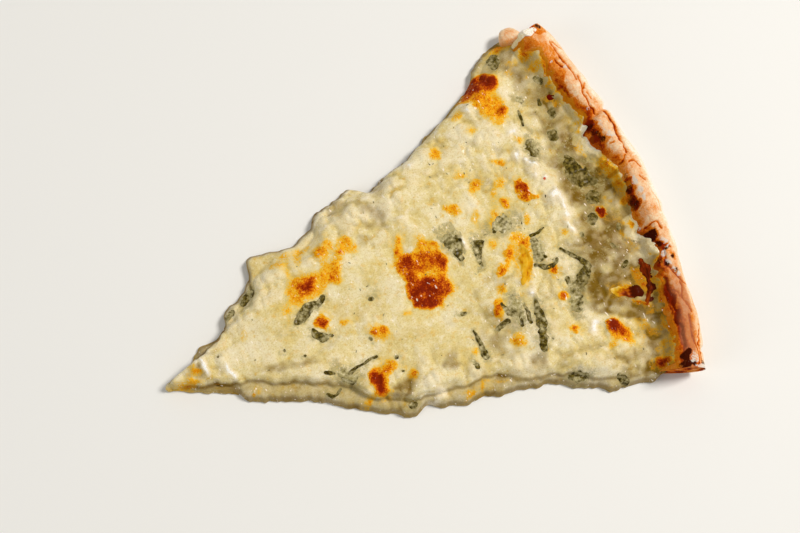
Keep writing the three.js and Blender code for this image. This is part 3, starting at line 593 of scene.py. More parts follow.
# Each piece lies along a path of places with its full width there. Film is how much cream covers it, from
# 0 to 1, at its start and its end, and lean moves the cream to its left side.
spinach = [
    {"path": [(67.5, 2, 2.5), (70.9, 3.9, 4.8), (74.6, 6.4, 5), (78.3, 7.5, 4.6), (82.2, 7.2, 4),
              (86.3, 10.6, 2.2)], "film": (0.45, 0.1)},
    {"path": [(74.6, -2.8, 2), (75.2, -6.8, 4.5), (77.6, -9.2, 4.2), (80.7, -9.1, 3)], "film": (0.05, 0.4)},
    {"path": [(46.5, 22.5, 3), (50, 25, 5), (55, 28, 3.5)], "film": (0.4, 0.4)},
    {"path": [(82, -31, 2.5), (86.6, -29, 1.8), (90.8, -28.9, 1.4), (94.6, -27.8, 1.6), (98.8, -27.9, 1.2)],
     "film": (0.4, 0.0)},
    {"path": [(154.0, 14.5, 10.4), (154.9, 8, 8.4), (155.2, 3.6, 5.4), (155.8, -1.4, 2.2)],
     "film": (0.95, -0.1), "lean": 0.15, "blunt": 0.12, "halo": 0.25},
    {"path": [(166.2, 5.8, 7.2), (165, 1, 4.6), (163.9, -4, 2.6), (163.5, -8.8, 1.6)], "film": (0.4, 0.75),
     "lean": -0.3, "blunt": 0.2, "halo": 0.5},
    {"path": [(176.5, 9, 6), (181, 8, 10), (187, 7, 8)], "film": (0.75, 0.9)},
    {"path": [(213.4, 43.8, 5), (212.8, 38.5, 7), (211.5, 33.5, 4)], "film": (0.45, 0.5), "lean": 0.45},
    {"path": [(227, 27.5, 5), (226.5, 21, 7), (229, 16, 10), (233, 12.5, 7), (236, 9.5, 3)],
     "film": (0.0, 0.35)},
    {"path": [(234.3, 5, 4), (230.5, 3.6, 7), (226.5, 1.5, 5)], "film": (0.3, 0.4)},
    {"path": [(192, -3.9, 3), (192.5, -10, 6), (191, -17, 5)], "film": (0.9, 0.85)},
    {"path": [(202.3, -14.3, 1.2), (205.3, -18, 1.8), (209.6, -23.4, 2), (211.6, -27.4, 3.6),
              (209, -31.2, 5), (204.7, -34, 5.6), (200.6, -37, 6.6), (198.6, -42.5, 7), (197.6, -47.5, 4)],
     "film": (0.0, 0.9)},
    {"path": [(156.6, -39.4, 2.2), (160.5, -38.4, 2.8), (165.2, -37.4, 2.4)], "film": (0.15, 0.1)},
    {"path": [(180.6, -32.6, 1), (179.9, -38, 3), (179, -44, 5.5), (177.9, -48.5, 5)], "film": (0.2, 0.25),
     "lean": -0.1},
    {"path": [(178.2, -47.5, 4.5), (175.6, -53.5, 4), (173.6, -59, 3)], "film": (0.3, 0.15), "lean": 0.2},
    {"path": [(146.4, -34.8, 1), (146.8, -40.5, 2), (146.9, -46.5, 3.2), (147.4, -51, 3)],
     "film": (0.1, 0.25)},
    {"path": [(215.6, 95, 4), (214.8, 90, 6), (213, 85.5, 4)], "film": (0.5, 0.5)},
]
shreds = [  # smaller pieces of the same leaf, all in one mesh
    {"path": [(229.3, 73.6, 2.0), (230.4, 70.8, 3.0), (231.8, 67.8, 2.4)], "film": (0.5, 0.1)},
    {"path": [(227.3, 62.3, 1.8), (226.3, 58, 2.2)], "film": (0.1, 0.1)},
    {"path": [(216.5, 67.4, 3), (218.4, 65.4, 4), (220, 63.6, 2.5)], "film": (1.0, 0.9)},
    {"path": [(214.7, 60.4, 1.4), (214.1, 56.2, 1.6), (213.2, 51, 1.3)], "film": (0.1, 0.1)},
    {"path": [(231.6, 55, 3), (230.2, 52, 4.5), (228.6, 49.4, 3)], "film": (0.45, 0.5)},
    {"path": [(224.6, 45.5, 3.5), (225.4, 41.5, 4.8), (225.8, 37.6, 3.5)], "film": (0.5, 0.35)},
    {"path": [(225.2, -4, 4), (224.3, -7.5, 4.5), (223.3, -10.6, 3)], "film": (0.5, 0.6)},
    {"path": [(216, -11, 2), (216, -14, 1.6)], "film": (0.7, 0.6)},
    {"path": [(227.4, -21.8, 2.2), (228.5, -25.2, 2.4)], "film": (0.6, 0.5)},
    {"path": [(235.3, -13.8, 2.0), (234.7, -17.5, 2.4)], "film": (0.6, 0.6)},
    {"path": [(231.4, -32.9, 2.0), (229.2, -34.6, 2.6), (227, -35.9, 2)], "film": (0.5, 0.7)},
    {"path": [(199.6, -28.6, 2.4), (199.6, -33.4, 2.4)], "film": (0.7, 0.7)},
    {"path": [(191.6, -2.3, 1.8), (194.6, -2.9, 2.2), (200.4, -1.5, 0.9)], "film": (0.0, 0.0)},
    {"path": [(187.2, -17, 1.6), (190.1, -18.6, 2.4), (193.3, -20.8, 2.8), (196.6, -21, 2.6),
              (199.3, -18.4, 1.8)], "film": (0.05, 0.05)},
    {"path": [(191.8, -13.4, 1.6), (195, -16.4, 1.6)], "film": (0.05, 0.05)},
    {"path": [(170.3, -26.5, 4), (171.1, -31, 7), (169.9, -36.5, 7.5), (168.3, -42, 5)], "film": (0.9, 0.9)},
    {"path": [(170.3, -37.4, 1.2), (169.3, -43.2, 1.8)], "film": (0.05, 0.05)},
    {"path": [(174.5, -33, 1.4), (174.8, -38, 2.2), (173.6, -43.5, 2.0)], "film": (0.3, 0.1)},
    {"path": [(164.2, -28, 2.0), (165.6, -32, 2.6), (165.4, -35.6, 1.6)], "film": (0.5, 0.5)},
    {"path": [(139.6, -47.8, 2.5), (140.6, -50.5, 3), (141.3, -53.6, 1.8)], "film": (0.9, 0.1)},
    {"path": [(80.7, -9.1, 1.6), (83, -10.2, 1.4)], "film": (0.3, 0.3)},
    {"path": [(105.2, 0, 2), (106.8, -0.9, 2.6), (108.2, -1.5, 1.6)], "film": (0.5, 0.7)},
    {"path": [(98.2, -17.8, 1.6), (99.2, -20, 1.4)], "film": (0.1, 0.1)},
    {"path": [(71.4, -25.1, 2), (76.4, -28, 1.6)], "film": (0.0, 0.0)},
    {"path": [(57.2, -7.2, 1.6), (58.6, -7.7, 1.6)], "film": (0.45, 0.3)},
    {"path": [(65.4, -13.7, 1.6), (67.0, -14.3, 1.8)], "film": (0.3, 0.0)},
    {"path": [(26.8, 2.5, 1.2), (28.0, 2.1, 1.2)], "film": (0.3, 0.2)},
    {"path": [(78, -26, 5), (81.8, -31.4, 7), (84, -35.6, 6)], "film": (0.85, 0.7)},
    {"path": [(68.4, -34.2, 1.3), (70.7, -36.9, 1.6), (73.8, -36.4, 1.5), (76.4, -34.6, 1.2)],
     "film": (0.05, 0.05)},
    {"path": [(106.4, -31.2, 1.8), (107.3, -33.2, 2)], "film": (0.5, 0.3)},
    {"path": [(106.2, -39.3, 1.4), (107.8, -40, 1.4)], "film": (0.1, 0.1)},
    {"path": [(103.4, -57.4, 3), (105.4, -56, 4.6), (107.4, -56.8, 3.5)], "film": (0.35, 0.35)},
    {"path": [(182.4, 12.4, 1.8), (180.6, 9.8, 1.8)], "film": (0.05, 0.05)},
    {"path": [(176.5, 8.2, 2), (176.6, 5.2, 2)], "film": (0.2, 0.2)},
    {"path": [(143.9, -25.1, 2), (147.2, -25.7, 1.8)], "film": (0.6, 0.4)},
    {"path": [(36.5, 18.5, 2.5), (40, 20.5, 3.5), (42.5, 22, 2)], "film": (0.5, 0.5)},
    {"path": [(202.2, -82.2, 2), (204.6, -85.6, 4), (206.2, -89.0, 2.6)], "film": (0.5, 0.4)},
    {"path": [(180.2, -73.6, 2.6), (184.8, -76.2, 5.6), (189.6, -77.6, 3)], "film": (0.5, 0.62)},
    {"path": [(226.4, 29, 2), (227.8, 25.4, 3), (229.6, 20.6, 3.6)], "film": (0.35, 0.2)},
    {"path": [(224.0, 22, 3), (223.6, 17.6, 4), (226, 13, 3)], "film": (0.6, 0.5)},
]
artichoke = [  # film is here how far the piece has roasted
    {"path": [(186.4, -4.5, 1.5), (185.6, -9, 5), (184.4, -14, 8), (181.6, -19.6, 6), (177.4, -24.5, 1.5)],
     "film": (0.46, 0.34), "lean": 0.06},
    {"path": [(216.5, -43.5, 2), (219.5, -45.5, 4.5), (223.5, -47.8, 5.5), (228, -49.2, 7),
              (230.6, -52.5, 4)], "film": (0.1, 1.5)},
]
roastedStrips = [
    {"path": [(237.2, -34.8, 2.4), (236.9, -38.5, 4.0), (236.9, -43.5, 4.8), (235.8, -49, 4.2),
              (234, -53.5, 4.4), (232.2, -57, 2.4)], "film": (0.84, 0.98)},
    {"path": [(235.0, -51.0, 1.5), (231.8, -55.0, 2.6), (229.6, -57.6, 1.4)], "film": (0.8, 0.76)},
]
chiliFlakes = [
    {"path": [(231.2, 61.2, 2.5), (232.7, 60.2, 3.8), (234.4, 58.8, 2.2)], "film": (0.0, 0.0)},
    {"path": [(209.8, 21.0, 1.2), (210.8, 20.0, 1.4)], "film": (1.0, 1.0)},
]
# Sink is how far a piece goes down into the cheese where cream covers it. darkEdge bares its edge of cream.
leaf = {"step": 0.45, "thickness": 0.6, "lift": 0.34, "pucker": 0.18, "edgeDip": 0.2, "sink": 0.1,
        "darkEdge": 0.0, "mottle": 0.0, "ragged": 1.3}
shred = {"step": 0.45, "thickness": 0.5, "lift": 0.16, "pucker": 0.12, "edgeDip": 0.08, "sink": 0.1,
         "darkEdge": 0.0, "mottle": 0.0, "ragged": 1.6}
petal = {"step": 0.45, "thickness": 0.6, "lift": 0.3, "pucker": 0.15, "edgeDip": 0.45, "sink": 0.0,
         "darkEdge": 0.25, "mottle": 0.16, "ragged": 1.0}
strip = {"step": 0.4, "thickness": 0.5, "lift": 0.2, "pucker": 0.25, "edgeDip": 0.35, "sink": 0.0,
         "darkEdge": -0.25, "mottle": 0.06, "ragged": 1.7}
flake = {"step": 0.4, "thickness": 0.4, "lift": 0.12, "pucker": 0.1, "edgeDip": 0.2, "sink": 0.0,
         "darkEdge": 0.0, "mottle": 0.0, "ragged": 1.0}
flecks = {"seed": 7, "count": 80, "length": (0.6, 1.7), "width": (0.35, 0.7)}


def browningAt(along, aside):  # from 0, bare cheese, to 1, almost burnt
    fine = softNoise(along, aside, 1.3, 75)
    u, v = wandered(along, aside, [(1.0, 6.0), (0.6, 2.6)], 71)

    def pastOutline(spot):  # which places lie near it, and how many millimetres past its outline
        near = (np.abs(along - spot[0]) < browning["reach"]) & (np.abs(aside - spot[1]) < browning["reach"])
        return near, (spotDistance(u[near], v[near], spot) - 1) * min(spot[2:4]) / 2

    nearness, darkness, halo, middles = (np.zeros_like(along) for _ in range(4))
    for spot in browned:
        near, out = pastOutline(spot)
        weight, dark = np.exp(-out / browning["blend"]), spot[5]
        nearness[near] += weight
        darkness[near] += weight * dark
        halo[near] = np.maximum(halo[near], smoothStep(1 - out / browning["halo"]) * min(1, dark * 1.6))
    for spot in darkMiddles:
        near, out = pastOutline(spot)
        middles[near] = np.maximum(middles[near], spot[5] * smoothStep(0.5 - out / 2.2))
    known = nearness > 0
    out = np.where(known, -browning["blend"] * np.log(np.maximum(nearness, 1e-12)), 99.0) + 0.35 * fine
    darkness = np.maximum(darkness / np.maximum(nearness, 1e-12), middles)
    darkness = darkness * (1 + 0.17 * softNoise(along, aside, 3.2, 76) + 0.1 * fine)
    body = darkness * (0.52 + 0.48 * smoothStep(-out / browning["deepening"]))
    patches = smoothStep(0.45 + layeredNoise(along, aside, [(0.8, 3.6), (0.4, 1.6)], 77))
    edge = mix(browning["edge"], browning["crispEdge"], smoothStep((darkness - 0.45) / 0.3))
    skin = body * (1 - smoothStep((out + 0.4 * edge) / edge))
    return np.clip(np.maximum(skin, browning["stain"] * halo * patches), 0.0, 1.1)


def spotField(along, aside, spots, seed, soft):
    u, v = wandered(along, aside, [(1.6, 7.0), (0.8, 3.0)], seed)
    field = np.zeros_like(along)
    for spot in spots:
        distance = spotDistance(u, v, spot)
        field = np.maximum(field, spot[5] * (1 - smoothStep((distance - 1 + soft) / (2 * soft))))
    return field


def leafShadow(along, aside):  # how much leaf shines through the cream there
    field = spotField(along, aside, sunken, 91, 0.5)
    u = along + 1.5 * softNoise(along, aside, 4.0, 92) + 0.8 * softNoise(along, aside, 1.8, 83)
    v = aside + 1.5 * softNoise(along, aside, 4.0, 93) + 0.8 * softNoise(along, aside, 1.8, 84)
    for piece in spinach + shreds:
        near = nearPath(along, aside, piece["path"], 6)
        width = max(point[2] for point in piece["path"])
        out = pathDistance(u[near], v[near], piece["path"]) / (piece.get("halo", 1.0) * (0.9 + 0.4 * width))
        field[near] = np.maximum(field[near], (0.45 + 0.06 * width) * (1 - smoothStep(out)))
    return np.clip(field, 0, 0.9)


def ridgeField(along, aside):  # height of the cream's ridges, and how pale they are, up to white with a painted highlight on the whole ones
    u, v = wandered(along, aside, [(0.6, 4.0)], 101)
    height, pale = np.zeros_like(along), np.zeros_like(along)
    broken = np.clip(0.55 + layeredNoise(along, aside, [(0.9, 5.0), (0.6, 2.4)], 103), 0, 1.2)
    for ridge in creamRidges:
        near = nearPath(along, aside, ridge["path"], 12)
        width = max(point[2] for point in ridge["path"])
        part = 1 - smoothStep(0.5 + pathDistance(u[near], v[near], ridge["path"]) / (0.5 * width + 0.8))
        part = part * np.where(ridge.get("whole", False), 1.2, broken[near])
        height[near] = np.maximum(height[near], ridge["height"] * part)
        pale[near] = np.maximum(pale[near], part * np.where(ridge.get("whole", False), 1.0, 0.85))
    return height, pale


def meltedCheese():
    # Melted mozzarella and cream, baked and then set while moist: light goes a little way in, an oily skin
    # gives it small sharp glints, more glints are painted on as pale specks, painted shade darkens it to
    # olive in hollows and creases, and it browns through amber to red brown where it has bubbled.
    material, tree = emptyMaterial("meltedCheese")
    place = addNode(tree, "ShaderNodeTexCoord").outputs["Object"]
    value = {name: addNode(tree, "ShaderNodeAttribute", {"attribute_name": name}).outputs["Fac"]
             for name in ("browning", "leafTint", "oil", "pale")}
    # clouds in the cream, stains, curd, and pores, which are drawn coarser than they are so that they show
    cloud, mottle, patch, fine = (
        addNode(tree, "ShaderNodeTexNoise", {"Scale": every(grain), "Detail": detail, "Roughness": 0.66},
                {"Vector": place})
        for grain, detail in ((15, 5.0), (4.4, 6.0), (2.6, 4.0), (0.75, 2.0)))
    cream = addNode(tree, "ShaderNodeValToRGB",
                    {"stops": [(0.34, "#d9c37a"), (0.5, "#e4d49a"), (0.64, "#ece1bb")]}, {"Fac": cloud})
    stain = addNode(tree, "ShaderNodeMapRange", {"From Min": 0.55, "From Max": 0.68, "To Max": 0.85},
                    {"Value": mottle})
    stained = addNode(tree, "ShaderNodeMix", {"data_type": "RGBA", 7: "#e0ba4c"}, {0: stain, 6: cream})
    milk = addNode(tree, "ShaderNodeMapRange", {"From Min": 0.46, "From Max": 0.34, "To Max": 0.8},
                   {"Value": mottle})
    milky = addNode(tree, "ShaderNodeMix", {"data_type": "RGBA", 7: "#f0e5c6"}, {0: milk, 6: stained})
    # above 0.88 the pale value runs up to white: on the whole ridges at the tip this is a painted highlight
    highlightRamp = addNode(tree, "ShaderNodeValToRGB", {"stops": [(0.88, "#f5ecd6"), (1.0, "#ffffff")]},
                    {"Fac": value["pale"]})
    pale = addNode(tree, "ShaderNodeMix", {"data_type": "RGBA"}, {0: value["pale"], 6: milky, 7: highlightRamp})
    # olive stands for oil and for painted shade in hollows, on walls and under the step
    oilAndShadeMix = addNode(tree, "ShaderNodeMix", {"data_type": "RGBA", 7: "#7b5d0d"}, {0: value["oil"], 6: pale})
    leafy = addNode(tree, "ShaderNodeMath", {"operation": "MULTIPLY_ADD", 1: 3.4, 2: -1.7}, {0: patch})
    leafFine = addNode(tree, "ShaderNodeMath", {"operation": "MULTIPLY_ADD", 1: 2.4, 2: -1.2}, {0: fine})
    leafBoth = addNode(tree, "ShaderNodeMath", {"operation": "ADD"}, {0: leafy, 1: leafFine})
    leafier = addNode(tree, "ShaderNodeMath", {"operation": "ADD"}, {0: leafBoth, 1: value["leafTint"]})
    leafMask = addNode(tree, "ShaderNodeMapRange", {"From Min": 0.3, "From Max": 1.2, "To Max": 0.85},
                       {"Value": leafier})
    near = addNode(tree, "ShaderNodeMapRange", {"From Max": 0.3}, {"Value": value["leafTint"]})
    leafSeen = addNode(tree, "ShaderNodeMath", {"operation": "MULTIPLY"}, {0: leafMask, 1: near})
    leafColour = addNode(tree, "ShaderNodeValToRGB",
                         {"stops": [(0.38, "#6b5e27"), (0.47, "#8d8047"), (0.6, "#b4a773")]},
                         {"Fac": patch})
    tinted = addNode(tree, "ShaderNodeMix", {"data_type": "RGBA"}, {0: leafSeen, 6: oilAndShadeMix, 7: leafColour})
    speckle = addNode(tree, "ShaderNodeValToRGB",
                      {"stops": [(0.3, "#dac893"), (0.48, "#faf4e6"), (0.62, "#ffffff")]}, {"Fac": fine})
    grainy = addNode(tree, "ShaderNodeMix", {"data_type": "RGBA", "blend_type": "MULTIPLY", 0: 0.65},
                     {6: tinted, 7: speckle})
    grain = addNode(tree, "ShaderNodeMath", {"operation": "MULTIPLY_ADD", 1: 1.1, 2: -0.55}, {0: fine})
    coarse = addNode(tree, "ShaderNodeMath", {"operation": "MULTIPLY_ADD", 1: 1.0, 2: -0.5}, {0: patch})
    both = addNode(tree, "ShaderNodeMath", {"operation": "ADD"}, {0: grain, 1: coarse})
    there = addNode(tree, "ShaderNodeMapRange", {"From Min": 0.02, "From Max": 0.3, "To Max": 1.0},
                    {"Value": value["browning"]})
    grainHere = addNode(tree, "ShaderNodeMath", {"operation": "MULTIPLY"}, {0: both, 1: there})
    baked = addNode(tree, "ShaderNodeMath", {"operation": "ADD"}, {0: value["browning"], 1: grainHere})
    brown = addNode(tree, "ShaderNodeValToRGB", {"stops": [
        (0.0, "#e2ca74"), (0.14, "#e8c148"), (0.30, "#edb420"), (0.46, "#e8990f"), (0.6, "#d3700a"),
        (0.74, "#b84a05"), (0.88, "#9a3003"), (1.0, "#7d2002")]}, {"Fac": baked})
    skin = addNode(tree, "ShaderNodeMapRange", {"From Min": 0.04, "From Max": 0.24}, {"Value": baked})
    # browned skin too is darkened where oil and painted shade lie
    soakedAndShaded = addNode(tree, "ShaderNodeMath", {"operation": "MULTIPLY", 1: 0.8}, {0: value["oil"]})
    deeper = addNode(tree, "ShaderNodeMix", {"data_type": "RGBA", "blend_type": "MULTIPLY", 7: "#b29668"},
                     {0: soakedAndShaded, 6: brown})
    # painted glints: short pale specks in patches, mixed into the colour to stand for highlights
    drawnOut = addNode(tree, "ShaderNodeMapping", {"Rotation": (0.0, 0.0, 0.5), "Scale": (1.35, 0.6, 1.0)},
                       {"Vector": place})
    glintNoise = addNode(tree, "ShaderNodeTexNoise", {"Scale": every(1.6), "Detail": 1.0, "Roughness": 0.5},
                   {"Vector": drawnOut})
    glintSpecks = addNode(tree, "ShaderNodeMapRange", {"From Min": 0.69, "From Max": 0.74, "To Max": 0.85},
                     {"Value": glintNoise})
    glintPatches = addNode(tree, "ShaderNodeMapRange", {"From Min": 0.44, "From Max": 0.54}, {"Value": cloud})
    paintedGlints = addNode(tree, "ShaderNodeMath", {"operation": "MULTIPLY"}, {0: glintSpecks, 1: glintPatches})
    bare = addNode(tree, "ShaderNodeMix", {"data_type": "RGBA"}, {0: skin, 6: grainy, 7: deeper})
    colour = addNode(tree, "ShaderNodeMix", {"data_type": "RGBA", 7: "#fff4e2"}, {0: paintedGlints, 6: bare})
    rough = addNode(tree, "ShaderNodeMapRange",
                    {"From Min": 0.35, "From Max": 0.65, "To Min": 0.5, "To Max": 0.75}, {"Value": mottle})
    dryness = addNode(tree, "ShaderNodeMath", {"operation": "MULTIPLY_ADD", 1: 0.3},
                      {0: value["oil"], 2: value["browning"]})
    dry = addNode(tree, "ShaderNodeMapRange",
                  {"From Min": 0.1, "From Max": 0.4, "To Min": 0.8, "To Max": 0.03}, {"Value": dryness})
    dimples = addNode(tree, "ShaderNodeBump", {"Strength": 0.35, "Distance": 0.0003}, {"Height": fine})
    bump = addNode(tree, "ShaderNodeBump", {"Strength": 0.4, "Distance": 0.0005},
                   {"Height": patch, "Normal": dimples})
    pearls = addNode(tree, "ShaderNodeBump", {"Strength": 1.0, "Distance": 0.0005}, {"Height": fine})
    wetBump = addNode(tree, "ShaderNodeBump", {"Strength": 1.0, "Distance": 0.0013},
                      {"Height": patch, "Normal": pearls})
    surface = addNode(tree, "ShaderNodeBsdfPrincipled",
                      {"IOR": 1.4, "Specular IOR Level": 0.03, "Subsurface Weight": 0.08,
                       "Subsurface Scale": 0.0008, "Subsurface Radius": (1.0, 0.7, 0.35),
                       "Coat Roughness": 0.12},
                      {"Base Color": colour, "Roughness": rough, "Normal": bump, "Coat Weight": dry,
                       "Coat Normal": wetBump})
    addNode(tree, "ShaderNodeOutputMaterial", links={"Surface": surface})
    return material


def bakedDough():
    # Wheat dough, stretched by hand and baked on stone: dry and matte, peach where it is thin skinned,
    # orange to dark brown where it caught the heat, with charred blisters and flour left in the creases.
    material, tree = emptyMaterial("bakedDough")
    place = addNode(tree, "ShaderNodeTexCoord").outputs["Object"]
    value = {name: addNode(tree, "ShaderNodeAttribute", {"attribute_name": name}).outputs["Fac"]
             for name in ("bake", "char", "flour", "crumb", "golden", "tan")}
    # uneven bake, blisters, and grains of flour, which are drawn coarser than they are so that they show
    mottle, patch, fine = (
        addNode(tree, "ShaderNodeTexNoise", {"Scale": every(grain), "Detail": detail, "Roughness": 0.66},
                {"Vector": place})
        for grain, detail in ((5.5, 6.0), (1.8, 4.0), (0.8, 2.0)))
    net = addNode(tree, "ShaderNodeTexVoronoi", {"feature": "DISTANCE_TO_EDGE", "Scale": every(2.0)},
                  {"Vector": place})
    shift = addNode(tree, "ShaderNodeMath", {"operation": "MULTIPLY_ADD", 1: 0.42, 2: -0.21}, {0: mottle})
    finer = addNode(tree, "ShaderNodeMath", {"operation": "MULTIPLY_ADD", 1: 0.5, 2: -0.25}, {0: patch})
    grain = addNode(tree, "ShaderNodeMath", {"operation": "MULTIPLY_ADD", 1: 0.55, 2: -0.28}, {0: fine})
    both = addNode(tree, "ShaderNodeMath", {"operation": "ADD"}, {0: shift, 1: finer})
    grained = addNode(tree, "ShaderNodeMath", {"operation": "ADD"}, {0: both, 1: grain})
    baked = addNode(tree, "ShaderNodeMath", {"operation": "ADD"}, {0: value["bake"], 1: grained})
    skin = addNode(tree, "ShaderNodeValToRGB", {"stops": [
        (0.0, "#f7eddc"), (0.18, "#f4d4ac"), (0.34, "#f1bb8c"), (0.48, "#e89a56"), (0.6, "#e38424"),
        (0.74, "#cf620a"), (0.88, "#a63904"), (1.0, "#7f1f02")]}, {"Fac": baked})
    fatty = addNode(tree, "ShaderNodeMix", {"data_type": "RGBA", 7: "#cf8210"},
                    {0: value["golden"], 6: skin})
    crumb = addNode(tree, "ShaderNodeValToRGB",
                    {"stops": [(0.3, "#cdb083"), (0.55, "#ead9b4"), (0.7, "#f3e8cc")]}, {"Fac": patch})
    tanned = addNode(tree, "ShaderNodeMix", {"data_type": "RGBA", 7: "#bd7650"},
                     {0: value["tan"], 6: fatty})
    inner = addNode(tree, "ShaderNodeMix", {"data_type": "RGBA"}, {0: value["crumb"], 6: tanned, 7: crumb})
    finest = addNode(tree, "ShaderNodeMath", {"operation": "MULTIPLY_ADD", 1: 1.4, 2: -0.7}, {0: fine})
    uneven = addNode(tree, "ShaderNodeMath", {"operation": "ADD"}, {0: both, 1: finest})
    here = addNode(tree, "ShaderNodeMapRange", {"From Max": 0.3}, {"Value": value["char"]})
    unevenHere = addNode(tree, "ShaderNodeMath", {"operation": "MULTIPLY"}, {0: uneven, 1: here})
    charMask = addNode(tree, "ShaderNodeMath", {"operation": "ADD"}, {0: value["char"], 1: unevenHere})
    burnt = addNode(tree, "ShaderNodeMapRange", {"From Min": 0.2, "From Max": 0.8}, {"Value": charMask})
    charred = addNode(tree, "ShaderNodeMix", {"data_type": "RGBA", 7: "#3f0f01"}, {0: burnt, 6: inner})
    ragged = addNode(tree, "ShaderNodeMath", {"operation": "MULTIPLY_ADD", 1: 2.6, 2: -1.3}, {0: fine})
    dustMask = addNode(tree, "ShaderNodeMath", {"operation": "ADD"}, {0: value["flour"], 1: ragged})
    dusty = addNode(tree, "ShaderNodeMapRange", {"From Min": 0.5, "From Max": 0.9, "To Max": 0.8},
                    {"Value": dustMask})
    colour = addNode(tree, "ShaderNodeMix", {"data_type": "RGBA", 7: "#e2dad0"}, {0: dusty, 6: charred})
    wrinkle = addNode(tree, "ShaderNodeMapRange", {"From Max": 0.14}, {"Value": net})
    wrinkles = addNode(tree, "ShaderNodeBump", {"Strength": 0.5, "Distance": 0.0002}, {"Height": wrinkle})
    pebbles = addNode(tree, "ShaderNodeBump", {"Strength": 0.8, "Distance": 0.0004},
                      {"Height": fine, "Normal": wrinkles})
    bump = addNode(tree, "ShaderNodeBump", {"Strength": 0.8, "Distance": 0.0008},
                   {"Height": patch, "Normal": pebbles})
    surface = addNode(tree, "ShaderNodeBsdfPrincipled",
                      {"Roughness": 0.8, "IOR": 1.4, "Specular IOR Level": 0.04, "Subsurface Weight": 0.06,
                       "Subsurface Scale": 0.0006, "Subsurface Radius": (1.0, 0.6, 0.3)},
                      {"Base Color": colour, "Normal": bump})
    addNode(tree, "ShaderNodeOutputMaterial", links={"Surface": surface})
    return material


def wiltedSpinach():
    # Spinach leaf, wilted and baked in cream: dull dark green that shows in patches, a grey milky film on the
    # rest, and a damp surface with fine puckers.
    material, tree = emptyMaterial("wiltedSpinach")
    place = addNode(tree, "ShaderNodeTexCoord").outputs["Object"]
    film, oil = (addNode(tree, "ShaderNodeAttribute", {"attribute_name": name}).outputs["Fac"]
                 for name in ("film", "oil"))
    patch, fine = (
        addNode(tree, "ShaderNodeTexNoise", {"Scale": every(grain), "Detail": detail, "Roughness": 0.6},
                {"Vector": place})
        for grain, detail in ((3.4, 4.0), (1.6, 3.0)))
    leaf = addNode(tree, "ShaderNodeValToRGB",
                   {"stops": [(0.34, "#2c2407"), (0.5, "#4f4212"), (0.66, "#7b6b2c")]}, {"Fac": fine})
    milk = addNode(tree, "ShaderNodeValToRGB",
                   {"stops": [(0.34, "#92854f"), (0.5, "#b3a777"), (0.64, "#d2c69c")]}, {"Fac": fine})
    # darker olive where oil and painted shade lie on the cheese round the leaf
    soakedAndShaded = addNode(tree, "ShaderNodeMix", {"data_type": "RGBA", 7: "#7d6a30"}, {0: oil, 6: milk})
    spread = addNode(tree, "ShaderNodeMath", {"operation": "MULTIPLY_ADD", 1: 4.4, 2: -2.1}, {0: patch})
    covered = addNode(tree, "ShaderNodeMath", {"operation": "ADD"}, {0: spread, 1: film})
    mask = addNode(tree, "ShaderNodeMapRange", {"From Min": 0.2, "From Max": 1.1}, {"Value": covered})
    colour = addNode(tree, "ShaderNodeMix", {"data_type": "RGBA"}, {0: mask, 6: leaf, 7: soakedAndShaded})
    bump = addNode(tree, "ShaderNodeBump", {"Strength": 0.6, "Distance": 0.0005}, {"Height": patch})
    surface = addNode(tree, "ShaderNodeBsdfPrincipled",
                      {"Roughness": 0.6, "IOR": 1.4, "Specular IOR Level": 0.03, "Coat Weight": 0.12,
                       "Coat Roughness": 0.17}, {"Base Color": colour, "Normal": bump})
    addNode(tree, "ShaderNodeOutputMaterial", links={"Surface": surface})
    return material


def roastedArtichoke():
    # Artichoke petal in oil, roasted at its edge: amber and a little see-through, with long fibres.
    material, tree = emptyMaterial("roastedArtichoke")
    roast = addNode(tree, "ShaderNodeAttribute", {"attribute_name": "film"}).outputs["Fac"]
    across, down = (addNode(tree, "ShaderNodeAttribute", {"attribute_name": name}).outputs["Fac"]
                    for name in ("across", "down"))  # millimetres across and along the petal
    slow = addNode(tree, "ShaderNodeMath", {"operation": "MULTIPLY", 1: 0.12}, {0: down})
    along = addNode(tree, "ShaderNodeCombineXYZ", links={"X": across, "Y": slow})
    fibre = addNode(tree, "ShaderNodeTexNoise", {"Scale": 1.3, "Detail": 4.0, "Roughness": 0.6},
                    {"Vector": along})  # 1.3 fibres a millimetre
    shift = addNode(tree, "ShaderNodeMath", {"operation": "MULTIPLY_ADD", 1: 0.6, 2: -0.3}, {0: fibre})
    total = addNode(tree, "ShaderNodeMath", {"operation": "ADD"}, {0: roast, 1: shift})
    colour = addNode(tree, "ShaderNodeValToRGB", {"stops": [
        (0.0, "#e6cf80"), (0.25, "#e2b430"), (0.5, "#d89a12"), (0.66, "#b45a08"), (0.8, "#7c2a04"),
        (0.95, "#4a1402")]}, {"Fac": total})
    bump = addNode(tree, "ShaderNodeBump", {"Strength": 0.4, "Distance": 0.0004}, {"Height": fibre})
    surface = addNode(tree, "ShaderNodeBsdfPrincipled",
                      {"Roughness": 0.6, "IOR": 1.4, "Specular IOR Level": 0.02, "Subsurface Weight": 0.1,
                       "Subsurface Scale": 0.001, "Subsurface Radius": (1.0, 0.6, 0.2), "Coat Weight": 0.02,
                       "Coat Roughness": 0.2}, {"Base Color": colour, "Normal": bump})
    addNode(tree, "ShaderNodeOutputMaterial", links={"Surface": surface})
    return material


def driedChili():
    # Crushed dried chili, baked in oil: a dull skin, dark red to brick red.
    material, tree = emptyMaterial("driedChili")
    bright = addNode(tree, "ShaderNodeAttribute", {"attribute_name": "film"}).outputs["Fac"]
    colour = addNode(tree, "ShaderNodeMix", {"data_type": "RGBA", 6: "#5c0c00", 7: "#d0593a"}, {0: bright})
    surface = addNode(tree, "ShaderNodeBsdfPrincipled",
                      {"Roughness": 0.6, "IOR": 1.4, "Specular IOR Level": 0.04}, {"Base Color": colour})
    addNode(tree, "ShaderNodeOutputMaterial", links={"Surface": surface})
    return material


